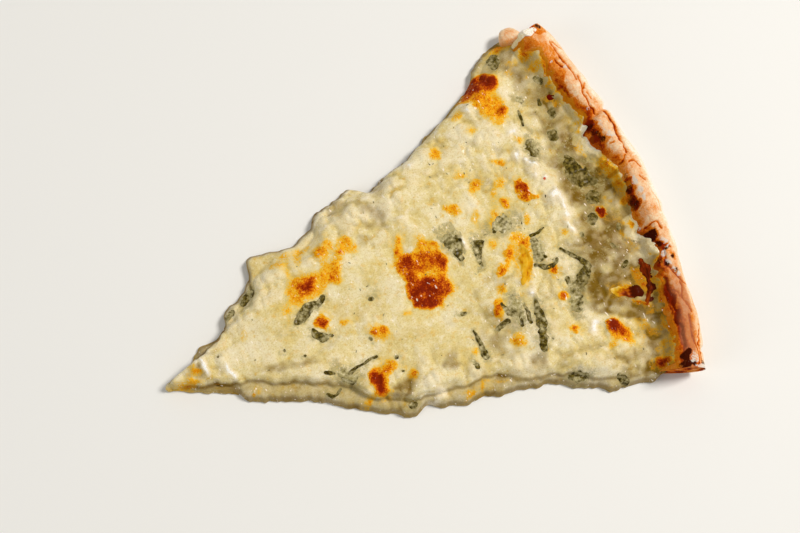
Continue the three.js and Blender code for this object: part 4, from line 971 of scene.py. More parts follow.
def cheeseRows():  # radii of the mesh's rows on the middle line, and where the cheese ends there
    middle = float(rimEdgeRadius(np.array([0.0]))[0])
    last = middle + cheese["dive"]
    nose = np.linspace(-cheese["noseRadius"] + 0.05, cheese["noseReach"], cheese["noseRows"])
    body = np.arange(cheese["noseReach"] + cheese["spacing"], last - cheese["endReach"], cheese["spacing"])
    lip = np.linspace(last - cheese["endReach"], last, cheese["endRows"])
    return np.concatenate([nose, body, lip]), middle


def rowPlaces(right, left):  # sideways places from the right edge to the left one, closer together near both
    band = min(cheese["edgeBand"], 0.3 * (right + left))
    steps = max(2, int(round(band / cheese["edgeSpacing"])))
    inner = max(2, int(round((right + left - 2 * band) / cheese["spacing"])))
    near = -right + band * (np.arange(steps) / steps) ** 1.3
    middle = np.linspace(-right + band, left - band, inner + 1)[:-1]
    return np.concatenate([near, middle, -near[::-1] - right + left])


def zipRows(starts, counts):  # triangles between rows that have different numbers of points
    faces = []
    for i in range(len(counts) - 1):
        near, far = counts[i] - 1, counts[i + 1] - 1
        a = b = 0
        while a < near or b < far:
            stepNear = b == far or (a < near and (a + 1) * far <= (b + 1) * near)
            p, q = starts[i] + a, starts[i + 1] + b
            if stepNear:
                faces.append((p, q, p + 1))
                a += 1
            else:
                faces.append((p, q, q + 1))
                b += 1
    return faces


def cheeseColours(radius, sideways, up, rough, brown):  # how browned and leafy it is there, how much oil and painted shade, and how pale with painted highlights
    along, aside, angle, past = planPoint(radius, sideways)
    place, beyond = angle * pie["radius"], radius - rimEdgeRadius(angle)
    lip = lipAt(angle, beyond)
    ridge = ridgeField(along, aside)[1]
    onSlice = 1 - smoothStep(past / 2)

    # it has browned along its end on the rim, and in patches on the slope before it
    ragged = 2.4 * softNoise(place, beyond, 3.0, 88)
    edging = smoothStep((beyond + 2.2 + ragged) / 2.0) * smoothStep(1 - 1.8 * lip) * onSlice
    patchy = smoothStep(0.4 + layeredNoise(place, beyond, [(0.9, 6.0), (0.6, 2.0)], 89))
    stained = smoothStep(0.1 + layeredNoise(along, aside, [(1.0, 5.0), (0.6, 2.2)], 86))
    stained = stained * smoothStep((beyond + 19) / 10) * smoothStep(1 - lip) * onSlice
    brown = np.maximum(np.maximum(brown, edging * 0.5 * patchy), 0.2 * stained)

    # olive darkening stands for oil and for painted shade: painted shade on what has run over the cuts, under
    # the step down to it, in the hollow before the rim and in every crease, and oil in the listed hollows
    shadedWall = smoothStep((8.0 - up) / 4.5) * smoothStep((np.abs(aside) - 6) / 6)
    step = past - lipEndAt(radius, sideways, past)
    shadedStep = smoothStep((step + 0.8) / 1.4) * smoothStep((radius - 3) / 5)
    shadedStep = shadedStep * np.where(aside < 0, 1.0, 1 - smoothStep((radius - 32) / 8))
    # painted shadow under the upper layer's step, deepest near the tip
    under = 0.5 + 0.4 * smoothStep(1 - np.abs(step - 0.6) / 1.6) + 0.35 * smoothStep((36 - radius) / 6)
    shadedWall = np.maximum(shadedWall, shadedStep * under * (1 - smoothStep((radius - 228) / 8)))
    # the band before the rim is darker olive: oil there, with painted shade
    soakedAndShaded = 0.8 * smoothStep((beyond + 9 + 2.5 * softNoise(along, aside, 6.0, 85)) / 7)
    soakedAndShaded = soakedAndShaded * (0.4 + 0.6 * smoothStep((10 - np.degrees(angle)) / 2.5))
    uneven = layeredNoise(along, aside, [(1.0, 5.5), (0.6, 2.6)], 97)
    oil = np.clip(spotField(along, aside, oilAndShadeSpots, 95, 0.45) * (1 + 0.6 * uneven), 0, 1)
    # hollows of the relief are darker still: painted shade
    oil = np.maximum(np.maximum(oil, 0.8 * shadedWall), soakedAndShaded) + 0.36 * smoothStep(-rough / 0.9) - 0.05
    behind = lipAt(angle, np.minimum(0.3, beyond + 3.6 + 1.5 * softNoise(along, aside, 3.0, 60)))
    oil = np.clip(np.clip(oil, 0, 1) * (1 - 0.65 * behind) - 0.9 * lip - 0.6 * ridge, 0, 1)

    # curd, lips and ridges stay pale, and the tops of lumps are lighter: a painted highlight
    pale = 0.6 * spotField(along, aside, curds, 99, 0.5) * smoothStep(0.4 + rough / 1.2)
    pale = np.maximum(pale, 0.4 * smoothStep(rough / 1.0) * (1 - shadedWall))
    rimSide = smoothStep((beyond + 1.5 + 1.2 * softNoise(along, aside, 2.2, 59)) / 1.4)
    paleLip = lip * mix(0.2, 0.9, rimSide) * (0.75 + 0.25 * smoothStep(angle / 0.05))
    pale = np.clip(np.maximum(np.maximum(pale, paleLip), ridge), 0, 1)
    return {"browning": brown, "leafTint": leafShadow(along, aside), "oil": oil, "pale": pale}


def rolledUnder(edge, radius, along, aside, up):  # rings of points from the edge down to the underside
    side = np.where(aside[edge] > 0, 1.0, -1.0)
    low, high = (perSide(side, raisedStretch["left"][k], raisedStretch["right"][k]) for k in (0, 1))
    raised = smoothStep((radius[edge] - low) / 10) * smoothStep((high - radius[edge]) / 10)
    foot = mix(cheese["foot"], cheese["raisedFoot"], raised)
    outward = -math.sin(pie["halfAngle"]), side * math.cos(pie["halfAngle"])
    rings = []
    for out, part in cheese["rings"]:
        u, v = along[edge] + out * outward[0], aside[edge] + out * outward[1]
        rings.append(inFrame(u, v, mix(foot, up[edge], part)))
    return rings


def buildCheese(material):
    radii, middle = cheeseRows()
    right, left = halfWidth(radii, "right"), halfWidth(radii, "left")
    rows = [rowPlaces(float(r), float(l)) for r, l in zip(right, left)]
    counts = [len(row) for row in rows]
    starts = np.concatenate([[0], np.cumsum(counts)[:-1]]).tolist()
    radius, sideways = np.repeat(radii, counts), np.concatenate(rows)
    follow = smoothStep((radius - cheese["fitRadius"]) / (middle - cheese["fitRadius"]))
    fitted = radius + follow * (rimEdgeRadius(planPoint(radius, sideways)[2]) - middle)
    sideways = np.where(follow > 0, sideways * fitted / np.maximum(radius, 1e-6), sideways)
    along, aside, _, _ = planPoint(fitted, sideways)
    up = cheeseTop(fitted, sideways)
    brown = browningAt(along, aside)
    blister = browning["blister"] * smoothStep(brown / 0.6) + 0.3 * brown * softNoise(along, aside, 1.7, 81)
    up = up + blister * smoothStep((up - 3) / 4)
    colours = cheeseColours(fitted, sideways, up, surfaceRelief(along, aside), brown)

    # the border runs out along the right side, across the last row, and back in along the left side
    lastRow = len(rows) - 1
    border = starts + [starts[lastRow] + j for j in range(1, counts[lastRow])]
    border += [starts[i] + counts[i] - 1 for i in range(lastRow - 1, -1, -1)]
    border += [starts[0] + j for j in range(counts[0] - 2, 0, -1)]
    edge = np.array(border)
    points = [inFrame(along, aside, up)] + rolledUnder(edge, fitted, along, aside, up)
    faces = zipRows(starts, counts)
    total, n, rings = len(along), len(edge), len(cheese["rings"])
    chain = [border] + [list(range(total + k * n, total + (k + 1) * n)) for k in range(rings)]
    for upper, lower in zip(chain, chain[1:]):
        faces += [(upper[(i + 1) % n], upper[i], lower[i], lower[(i + 1) % n]) for i in range(n)]
    faces.append(chain[-1][::-1])
    # the rolled-under edge is painted darker: painted shade
    below = {"browning": 0.6 * colours["browning"][edge], "leafTint": colours["leafTint"][edge],
             "oil": np.full(n, 0.6), "pale": np.zeros(n)}
    attributes = {key: np.concatenate([values] + [below[key]] * rings) for key, values in colours.items()}
    piece = meshPiece("meltedCheeseLayer", np.concatenate(points), faces, attributes, material)
    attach(piece, "root")
    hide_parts("cheese")
    print("cheese:", len(piece.data.polygons), "faces")


crustPlan = {
    "step": 0.47,  # along the rim
    "slope": 19.0,  # from the crown in to where the fine columns start
    "slopeStep": 0.41,
    "base": 228.0,  # from the tip to there
    "baseStep": 14.0,
    "domeColumns": 37,
    "cutRows": 22,
    "setBack": 1.6,  # how far the dough's left cut lies behind the cheese where that doesn't reach the table
}
rimFold = {"angle": 9.1, "depth": 2.4, "width": 2.0, "slant": 0.25}
# Cracks in the skin: width, depth, how brown, and the places each runs through, as degrees and radius.
cracks = [
    (0.9, 1.3, 0.4, [(19.1, 257.4), (17.8, 256), (15.7, 255.1), (13.8, 254.0)]),
    (0.7, 0.8, 0.4, [(19.1, 258.6), (17.7, 260.4)]),
    (0.8, 0.9, 0.35, [(17.1, 252.2), (15.9, 252.9)]),
    (0.8, 1.1, 0.4,
     [(14.2, 256.5), (13.1, 254.9), (12.4, 253.4), (11.7, 252.1), (10.5, 251.1), (9.4, 250.4)]),
    (0.9, 1.0, 0.4, [(13.1, 257.1), (12.4, 253.4)]),
    (0.6, 0.6, 0.3, [(11.9, 254.6), (11.1, 254.1)]),
    (0.9, 0.7, 0.12, [(15.4, 246.4), (13.9, 245.9), (12.8, 246.3)]),
    (1.7, 2.0, 0.48, [(9.0, 256.8), (7.9, 256.6), (6.7, 255.5), (5.5, 254.3)]),
    (0.9, 1.2, 0.42, [(5.5, 254.3), (4.4, 253.6), (3.5, 252.5)]),
    (0.6, 0.6, 0.36, [(5.4, 247.8), (5.1, 250.5)]),
    (0.7, 0.8, 0.36, [(3.3, 251.3), (2.8, 249.4), (2.8, 247.6)]),
    (0.7, 0.8, 0.4, [(2.3, 250.9), (2.3, 253.8), (1.9, 255.0), (1.4, 255.9)]),
    (0.6, 0.6, 0.36, [(0.5, 253.4), (-0.2, 255.1)]),
    (0.7, 0.6, 0.2, [(-1.6, 256.3), (-2.6, 257.2), (-4.0, 256.2)]),
    (0.8, 0.9, 0.42, [(-5.3, 246.3), (-5.1, 250.9), (-6.0, 252.8)]),
    (0.9, 1.0, 0.5, [(-7.2, 248.0), (-7.8, 250.2), (-8.3, 253.7)]),
    (1.1, 1.0, 0.4, [(-8.3, 250.2), (-9.4, 249.6), (-10.1, 248.7)]),
    (1.0, 1.2, 0.45, [(-10.1, 248.7), (-10.9, 251.2), (-11.5, 252.9), (-12.5, 256.4)]),
    (0.8, 0.9, 0.4, [(-12.3, 253.6), (-14.2, 251.9), (-14.8, 253.4), (-15.8, 254.8)]),
    (0.6, 0.7, 0.35, [(-13.1, 248.8), (-14.0, 251.2)]),
    (1.3, 1.5, 0.3, [(-11.6, 246.8), (-14.1, 247.4), (-16.5, 247.8), (-19.6, 249.8)]),
    (0.8, 0.5, 0.2, [(-12.0, 245.6), (-14.0, 245.8), (-16.0, 246.0)]),
    (0.8, 0.9, 0.36, [(-16.2, 253.4), (-18.6, 254.2), (-19.4, 255.8), (-21.6, 256.6)]),
    (0.8, 1.0, 0.4, [(-19.4, 261.4), (-20.3, 259.8)]),
    (0.9, 1.2, 0.42, [(-17.2, 258.4), (-19.6, 257.4), (-21.4, 258.2)]),
    (0.7, 0.7, 0.4, [(-14.3, 257.8), (-15.0, 257.4)]),
]
# Places baked darker, burnt and left floury: degrees, radius, length along the rim, width and strength.
scorched = [
    (8.5, 245.0, 7, 6, 0.42), (7.2, 245.6, 8, 5, 0.4), (5.9, 246.4, 6, 4, 0.2), (5.0, 244.8, 5, 3, 0.1),
    (-0.3, 246.2, 9, 6, 0.42), (-2.0, 245.6, 8, 6, 0.42), (-3.6, 245.6, 6, 3, 0.06),
    (-6.2, 246.8, 10, 7, 0.42), (-5.6, 244.4, 7, 4, 0.36), (-7.8, 248.6, 6, 5, 0.2),
    (-9.6, 247.0, 8, 6, 0.3), (-10.8, 247.0, 6, 4, 0.2), (-20.4, 249.8, 10, 6, 0.3),
    (-13.2, 247.0, 16, 3.4, 0.34), (-16.4, 248.8, 16, 3.4, 0.34), (-18.4, 249.6, 12, 3.4, 0.34),
    (16.8, 247.0, 12, 3, 0.1), (13.8, 245.8, 10, 2.4, 0.14), (11.2, 246.0, 9, 3, 0.12),
    (10.2, 248.6, 5, 3, 0.14), (9.6, 246.8, 4, 4, 0.16), (21.2, 257.0, 8, 7, 0.34),
    (20.4, 248.0, 6, 5, 0.1), (7.6, 255.4, 9, 3, 0.22), (21.4, 252.6, 4, 4, 0.2), (17.6, 254.8, 8, 2, 0.12),
    (-9.2, 253.6, 4, 2, 0.3), (-21.6, 253.4, 3, 8, 0.3),
]
charred = [
    (8.6, 244.6, 5, 3.4, 0.74), (7.3, 245.4, 6, 2.8, 0.66), (6.3, 246.4, 4, 3, 0.78),
    (-0.5, 246.2, 5, 4.0, 0.7), (-1.2, 246.2, 7, 2.4, 0.5), (-1.9, 245.4, 5, 3.4, 0.66),
    (-2.6, 245.8, 3, 3, 0.5), (0.8, 247.0, 4, 3, 0.5), (-6.4, 247.2, 6.4, 5, 1.05),
    (-7.5, 248.8, 3, 2.4, 0.9), (-8.4, 250.6, 3, 2, 0.9), (-9.5, 246.6, 4, 3, 0.55),
    (-10.1, 249.2, 3, 2, 0.8), (-9.3, 252.6, 2.4, 2, 0.9), (-20.5, 249.6, 7, 5, 1.05),
    (-21.6, 249.2, 4, 5, 1.0), (-21.5, 252.6, 2.4, 3, 0.9), (21.6, 258.4, 4, 3, 0.8),
    (-11.0, 253.8, 3, 1.6, 0.7), (-21.5, 257.6, 3, 2, 0.7),
]
floured = [
    (6.2, 250.0, 3, 4, 0.9), (8.0, 250.2, 6, 2.4, 0.6), (7.2, 248.6, 3, 2, 0.7), (0.3, 249.4, 5, 3, 1.0),
    (-1.0, 249.8, 4, 3.4, 1.0), (-2.1, 249.6, 4, 3, 1.0), (-7.4, 251.0, 3, 2.4, 1.0),
    (-8.2, 252.4, 2.4, 2, 1.0), (-9.0, 250.4, 3, 3, 1.0), (-9.9, 251.4, 3, 3, 1.0),
    (-10.7, 252.4, 3, 2.4, 1.0), (-11.3, 254.2, 3, 2.4, 1.0), (-20.7, 253.8, 6, 5, 0.8),
    (-21.7, 257.4, 3, 6, 1.2), (15.6, 253.4, 2.4, 2, 1.1), (17.4, 250.4, 1.6, 1.6, 1.0),
    (-5.0, 244.4, 3, 1.4, 0.9), (10.4, 249.4, 3, 2, 0.6),
]
# How deep the bake is along the rim: at the cheese, how far that goes out, and on the crown.
rimBake = {
    "inner": [[-24, 0.66], [-12, 0.68], [-9.5, 0.7], [-2, 0.68], [3, 0.64], [7, 0.68], [9.2, 0.7],
              [9.6, 0.68], [24, 0.67]],
    "innerWidth": [[-24, 2.6], [-12, 2.0], [-9, 2.0], [-4, 1.6], [2, 2.0], [6, 2.6], [9.2, 4.0], [11, 3.0],
                   [13, 2.6], [14.4, 3.0], [15.6, 5.5], [18, 5.5], [19, 4.0], [21, 6.0], [24, 6.0]],
    "crown": [[-24, 0.46], [-19, 0.48], [-12, 0.46], [-9, 0.36], [5, 0.3], [9, 0.38], [9.4, 0.32],
              [14, 0.3], [17, 0.42], [20, 0.48], [24, 0.5]],
    "outer": [[-24, 0.2], [-14, 0.18], [-10, 0.06], [-7, 0.0], [4, 0.0], [8, 0.06], [10, 0.04], [14, 0.12],
              [18, 0.18], [24, 0.24]],
    "tan": [[-24, 0.5], [-21, 0.7], [-14, 0.7], [-11, 0.35], [-9, 0.0], [24, 0.0]],
    "golden": [[-24, 0.6], [-12, 0.6], [-10, 0.2], [-3, 0.4], [1, 0.6], [3, 0.2], [9, 0.1], [10, 0.8],
               [24, 0.8]],
}


def markField(angle, radius, marks, seed):  # the strongest of the marks on the rim there
    s, q = wandered(angle * pie["radius"], radius, [(1.1, 3.5), (0.6, 1.5)], seed)
    field = np.zeros_like(radius)
    for degrees, r, length, width, strength in marks:
        d = np.hypot((s - math.radians(degrees) * pie["radius"]) / (length / 2), (q - r) / (width / 2))
        field = np.maximum(field, strength * (1 - smoothStep((d - 1) * min(length, width) / 2 / 0.9 + 0.5)))
    return field


def crackField(angle, radius):  # how deep the cracks and the fold are, and how brown
    s, q = wandered(angle * pie["radius"], radius, [(0.7, 4.0), (0.35, 1.6)], 111)
    depth, stain = np.zeros_like(radius), np.zeros_like(radius)
    for crackWidth, crackDepth, brown, places in cracks:
        path = [(math.radians(degrees) * pie["radius"], r, 0.0) for degrees, r in places]
        d = pathDistance(s, q, path) / (0.7 * crackWidth)
        depth = np.maximum(depth, 0.9 * crackDepth * np.exp(-d ** 2))
        stain = np.maximum(stain, 1.5 * brown * np.exp(-(d / 0.8) ** 2))
    across = (angle - math.radians(rimFold["angle"])) * pie["radius"] - rimFold["slant"] * (radius - 250)
    fold = np.exp(-((across + 0.8 * softNoise(radius, 0.0, 4.0, 115)) / rimFold["width"]) ** 2)
    return depth + rimFold["depth"] * fold, stain + 0.2 * fold


def rimSheet(angle, radius, top):  # height of the dough's upper or lower face
    crownRadius, crownHeight, outside = rimAt(angle)
    reach = np.clip((radius - crownRadius) / outside, 0, 1)
    dome = np.sqrt(np.maximum(0, 1 - reach ** 2))
    if top:
        return np.where(radius > crownRadius,
                        rim["waistHeight"] + (crownHeight - rim["waistHeight"]) * dome,
                        doughTop(radius, angle))
    return np.where(radius > crownRadius, rim["waistHeight"] * (1 - dome), 0.0)


def crustPlaces():  # angles and radii of the sheets' points, a row for each angle
    half = pie["halfAngle"]
    rows = int(round(2 * half * pie["radius"] / crustPlan["step"]))
    angle = np.linspace(-half, half, rows + 1)[:, None]
    crownRadius, _, outside = rimAt(angle)
    foot = crownRadius - crustPlan["slope"]
    inner = np.arange(0.0, 1.0, crustPlan["baseStep"] / crustPlan["base"])
    slope = np.linspace(0, 1, int(crustPlan["slope"] / crustPlan["slopeStep"]))
    dome = np.sin(np.linspace(0, math.pi / 2, crustPlan["domeColumns"]))[1:]
    radius = np.concatenate([rim["tipRadius"] + (foot - rim["tipRadius"]) * inner[None, :],
                             foot + crustPlan["slope"] * slope[None, :],
                             crownRadius + outside * dome[None, :]], axis=1)
    return np.broadcast_to(angle, radius.shape), radius


def crustSheets(angle, radius, around):  # the upper and the lower face, and how brown the cracks are
    place = angle * pie["radius"]
    nearRim = smoothStep((radius - 234) / 8)
    z = rimSheet(angle, radius, True)
    girth = radius + z
    bumps = layeredNoise(place, girth, [(0.7, 16.0), (0.3, 7.0)], 121)
    bumps = bumps + 0.12 * softNoise(place / 2, girth, 2.4, 123) + 0.08 * softNoise(place, girth, 1.4, 124)
    grooves, stains = crackField(angle, radius)
    push = (bumps * 0.8 - grooves * smoothStep((radius - 240) / 5)) * nearRim
    meeting = smoothStep((around - 0.7) / 0.85)  # both faces come to one line round the outside of the rim
    push = mix(push, push[:, -1:], meeting)
    top = [radius + push * np.sin(around), z + push * np.cos(around)]
    top[1][:, -1] = rim["waistHeight"]
    z = rimSheet(angle, radius, False)
    girth = radius - z
    bumps = mix(layeredNoise(place, girth, [(0.6, 14.0), (0.3, 5.0)], 125) * nearRim, push[:, -1:], meeting)
    lift = np.abs(layeredNoise(place, radius, [(0.4, 9.0), (0.2, 3.0)], 127))
    lift = lift * nearRim * smoothStep(z / 2) * (1 - meeting)
    under = [radius + bumps * np.sin(around), np.maximum(0.0, z + lift)]
    return top, under, stains * (1 - smoothStep((around - 1.15) / 0.3))


def topBake(angle, r, way, stains):  # what the heat has done to the upper face
    place = angle * pie["radius"]
    out = r - rimEdgeRadius(angle)
    along = {key: easedCurve(points, np.degrees(angle)) for key, points in rimBake.items()}
    patchy = layeredNoise(place, way, [(0.07, 13.0), (0.1, 4.0)], 131)
    wander = layeredNoise(place, way, [(1.0, 5.0), (0.6, 2.0)], 136)
    risen = smoothStep((out + wander - along["innerWidth"]) / 2.2)
    bake = mix(along["inner"], along["crown"], risen) + patchy
    outer = smoothStep((r - 253.5 - 2.0 * softNoise(place, r, 9.0, 133)) / 5)
    bake = bake - (bake - along["outer"]) * outer + stains + markField(angle, r, scorched, 134)
    freckles = smoothStep((layeredNoise(place, way, [(1.0, 9.0), (0.5, 3.5)], 153) - 0.35) / 0.5)
    bake = bake + 0.12 * freckles * smoothStep((r - 256) / 3)
    tan = along["tan"] * (1 - smoothStep((np.abs(r - 251.5 - softNoise(place, r, 5.0, 139)) - 2) / 2.5))
    golden = along["golden"] * (1 - smoothStep((out - 0.9 - 1.3 * softNoise(place, r, 3.0, 138)) / 1.2))
    return {"bake": bake, "char": markField(angle, r, charred, 141),
            "flour": markField(angle, r, floured, 145), "golden": golden, "tan": tan}


def gridFaces(grid, flip):
    quads = np.stack([grid[:-1, :-1], grid[:-1, 1:], grid[1:, 1:], grid[1:, :-1]], -1).reshape(-1, 4)
    return (quads[:, ::-1] if flip else quads).tolist()


def buildCrust(material):
    angle, radius = crustPlaces()
    height, width = radius.shape
    crownRadius, crownHeight, outside = rimAt(angle)
    around = np.clip((radius - crownRadius) / outside, 0, 1) * math.pi / 2  # from the crown down the outside
    top, under, stains = crustSheets(angle, radius, around)
    points, attributes = [], {key: [] for key in ("bake", "char", "flour", "crumb", "golden", "tan")}

    def store(r, a, z, finish):
        low, high = raisedStretch["left"]
        stretch = smoothStep((r - low + 6) / 12) * (1 - smoothStep((r - high + 8) / 12))
        a = a - crustPlan["setBack"] * stretch * np.maximum(0, a) / pie["halfAngle"] / np.maximum(r, 1.0)
        points.append(inFrame(r * np.cos(a), r * np.sin(a), z).reshape(-1, 3))
        for key, parts in attributes.items():
            parts.append(np.broadcast_to(finish.get(key, 0.0), r.shape).ravel())

    way = radius + np.where(radius > crownRadius, crownHeight - rimSheet(angle, radius, True), 0.0)
    finish = topBake(angle, top[0], way, stains)
    store(top[0], angle, top[1], finish)
    r, z, a = under[0][:, :-1], under[1][:, :-1], angle[:, :-1]
    spots = layeredNoise(a * r, r - z, [(1.0, 11.0), (0.6, 5.0)], 151)
    low = 1 - smoothStep((around[:, :-1] - 0.35) / 1.1)
    store(r, a, z,
          {"bake": mix(finish["bake"][:, -1:], 0.36 + 0.26 * smoothStep(spots), low),
           "char": 0.5 * low * smoothStep((spots - 0.75) / 0.5), "flour": 0.4 * low * smoothStep(-spots)})
    topIndex = np.arange(height * width).reshape(height, width)
    underIndex = height * width + np.arange(height * (width - 1)).reshape(height, width - 1)
    underIndex = np.concatenate([underIndex, topIndex[:, -1:]], axis=1)
    faces = gridFaces(topIndex, False) + gridFaces(underIndex, True)
    tip = [topIndex[:-1, 0], topIndex[1:, 0], underIndex[1:, 0], underIndex[:-1, 0]]
    faces += np.stack(tip, -1).tolist()

    # the two cut faces show the open crumb: rows between the lower and the upper edge of each section
    count = height * width + height * (width - 1)
    cutRows = crustPlan["cutRows"]
    part = (np.arange(1, cutRows) / cutRows)[:, None]
    for row, side, baked in ((0, -1, 0.74), (height - 1, 1, 0.6)):
        r, z = (mix(under[k][row, :-1], top[k][row, :-1], part) for k in (0, 1))
        holes = smoothStep((softNoise(r, z * 1.2, 2.6, 161 + side) - 0.15) / 0.35)
        inside = smoothStep(np.minimum(part, 1 - part) * 6) * smoothStep((r - 14) / 6)
        dent = (0.25 + 0.9 * holes) * inside
        patchy = layeredNoise(r, z, [(0.3, 4.0), (0.2, 1.8)], 165)
        store(r, side * (pie["halfAngle"] - dent / np.maximum(r, 4.0)), z,
              {"bake": baked + 0.09 * (1 - inside) + patchy, "char": 0.4 * smoothStep(patchy / 0.3),
               "crumb": (0.35 + 1.2 * np.abs(patchy)) * inside * smoothStep((244 - r) / 8)})
        index = count + np.arange((cutRows - 1) * (width - 1)).reshape(cutRows - 1, width - 1)
        count += index.size
        grid = np.concatenate([underIndex[row:row + 1, :-1], index, topIndex[row:row + 1, :-1]], axis=0)
        faces += gridFaces(grid, side > 0)
        last = grid[:, -1].tolist()
        fan = [(last[i], int(topIndex[row, -1]), last[i + 1]) for i in range(cutRows)]
        faces += fan if side < 0 else [face[::-1] for face in fan]
    values = {key: np.concatenate(parts) for key, parts in attributes.items()}
    piece = meshPiece("bakedCrust", np.concatenate(points), faces, values, material)
    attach(piece, "root")
    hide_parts("crust")
    print("crust:", len(piece.data.polygons), "faces")


doughBubble = {
    "radius": 249.0,
    "out": 3.5,  # past the cut
    "height": 6.8,
    "size": (10.0, 6.2, 6.0),  # half its size across the cut, along it and up
    "rough": 0.12,
    "grain": 9.0,
    "rows": 40,
    "columns": 64,
}
# Soft white curd that has stuck to the rim's end. Its path holds distance from the centre, out from the cut,
# width and height.
rimCurd = {
    "path": [(243.4, 0.6, 2.2, 0.7), (246.6, 0.3, 3.6, 1.1), (249.0, -0.2, 4.0, 1.5),
             (250.8, -0.9, 5.4, 2.3), (252.6, -1.5, 4.2, 1.5), (254.4, -2.2, 4.4, 1.9),
             (256.6, -2.8, 2.0, 0.8)],
    "step": 0.3,
    "columns": 21,
    "sunk": 0.35,
    "thickness": 1.0,
}


def bubbleMesh():
    rows, columns, grain = doughBubble["rows"], doughBubble["columns"], doughBubble["grain"]
    lat = np.linspace(0, math.pi, rows + 1)[1:-1, None]
    lon = np.linspace(0, 2 * math.pi, columns, endpoint=False)[None, :]
    across, alongCut, halfHeight = doughBubble["size"]
    x, y = alongCut * np.sin(lat) * np.cos(lon), across * np.sin(lat) * np.sin(lon)
    z = halfHeight * np.cos(lat) + 0 * lon
    swollen = softNoise(x + 2 * z, y - z, grain, 171) + 0.6 * softNoise(x - z, y + 2 * z, grain / 2, 172)
    swollen = 1 + doughBubble["rough"] * swollen
    x, y, z = (np.concatenate([[0], (swollen * part).ravel(), [0]]) for part in (x, y, z))
    z[0], z[-1] = halfHeight, -halfHeight
    turn, radius = pie["halfAngle"], doughBubble["radius"]
    u, v, _, _ = planPoint(np.array([radius]), np.array([radius * turn + doughBubble["out"]]))
    along = u + x * math.cos(turn) - y * math.sin(turn)
    aside = v + x * math.sin(turn) + y * math.cos(turn)
    body = 1 + np.arange((rows - 1) * columns).reshape(rows - 1, columns)
    nextColumn = np.roll(body, -1, axis=1)
    faces = np.stack([body[:-1], body[1:], nextColumn[1:], nextColumn[:-1]], -1).reshape(-1, 4).tolist()
    bottom = 1 + body.size
    faces += [(0, int(a), int(b)) for a, b in zip(body[0], nextColumn[0])]
    faces += [(bottom, int(b), int(a)) for a, b in zip(body[-1], nextColumn[-1])]
    return inFrame(along, aside, doughBubble["height"] + z), faces, z / halfHeight


def buildBubble(material):
    points, faces, part = bubbleMesh()
    u, v = 1000 * points[:, :2].T
    bake = 0.16 + 0.16 * smoothStep(part) + 0.14 * softNoise(u, v, 3.0, 173)
    inward = 0.45 - (0.4 * (u - u.mean()) + 0.92 * (v - v.mean())) / 7
    golden = 0.85 * smoothStep(inward + 0.3 * softNoise(u, v, 3.0, 174))
    attributes = {key: np.zeros_like(bake) for key in ("char", "flour", "crumb", "tan")}
    piece = meshPiece("doughBubble", points, faces, {"bake": bake, "golden": golden, **attributes},
                      material)
    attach(piece, "root")
    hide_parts("crust")
    print("dough bubble:", len(piece.data.polygons), "faces")


def slabFaces(rows, columns):  # a closed slab from an upper and a lower grid of points
    top = np.arange(rows * columns).reshape(rows, columns)
    under = rows * columns
    quads = np.stack([top[:-1, :-1], top[1:, :-1], top[1:, 1:], top[:-1, 1:]], -1).reshape(-1, 4)
    loop = np.concatenate([top[:-1, 0], top[-1, :-1], top[:0:-1, -1], top[0, :0:-1]])
    ahead = np.roll(loop, -1)
    sides = np.stack([loop, ahead, ahead + under, loop + under], -1)
    return quads[:, ::-1].tolist() + (quads + under).tolist() + sides[:, ::-1].tolist()


def buildRimCurd(material):
    path = np.array(rimCurd["path"])
    r = np.arange(path[0, 0], path[-1, 0], rimCurd["step"])[:, None]
    out, width, height = (np.interp(r, path[:, 0], path[:, k]) for k in (1, 2, 3))
    t = np.linspace(-1, 1, rimCurd["columns"])[None, :]
    ends = roundedEdge(np.minimum(r - r[0] + 0.1, r[-1] - r + 0.1) / 1.4)
    ragged = 1 + layeredNoise(r, np.sign(t) * 5, [(0.3, 2.4), (0.2, 1.0)], 191)
    aside = out + 0.5 * t * width * ends * ragged
    r = r + 0.0 * aside
    lumpy = 1 + layeredNoise(r, aside, [(0.45, 2.2), (0.25, 1.0)], 193)
    sag = 0.5 * np.maximum(aside, 0.0) ** 1.5  # of what hangs over the cut
    dough = rimSheet(np.minimum(pie["halfAngle"] + aside / r, pie["halfAngle"]), r, True) - rimCurd["sunk"]
    z = dough + height * ends * roundedEdge(1 - np.abs(t)) * lumpy - sag
    u, v, _, _ = planPoint(r.ravel(), (r * pie["halfAngle"] + aside).ravel())
    lower = dough - sag - rimCurd["thickness"]
    points = np.concatenate([inFrame(u, v, height.ravel()) for height in (z, lower)])
    attributes = {key: np.zeros(len(points)) for key in ("browning", "leafTint", "oil")}
    attributes["pale"] = np.tile((0.35 + 0.6 * smoothStep((r - 246) / 4)).ravel(), 2)
    piece = meshPiece("rimCurd", points, slabFaces(*r.shape), attributes, material)
    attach(piece, "root")
    print("curd on the rim:", len(piece.data.polygons), "faces")


def topAt(along, aside):  # height of the cheese's face under a place
    radius, angle, half = np.hypot(along, aside), np.arctan2(aside, along), pie["halfAngle"]
    out = np.abs(aside) * math.cos(half) - along * math.sin(half)
    outside = np.abs(angle) > half
    alongCut = along * math.cos(half) + np.abs(aside) * math.sin(half)
    r = np.where(outside, alongCut, radius)
    sideways = np.where(outside, np.sign(aside) * (alongCut * half + out), radius * angle)
    return cheeseTop(r, sideways) + browning["blister"] * smoothStep(browningAt(along, aside) / 0.6)


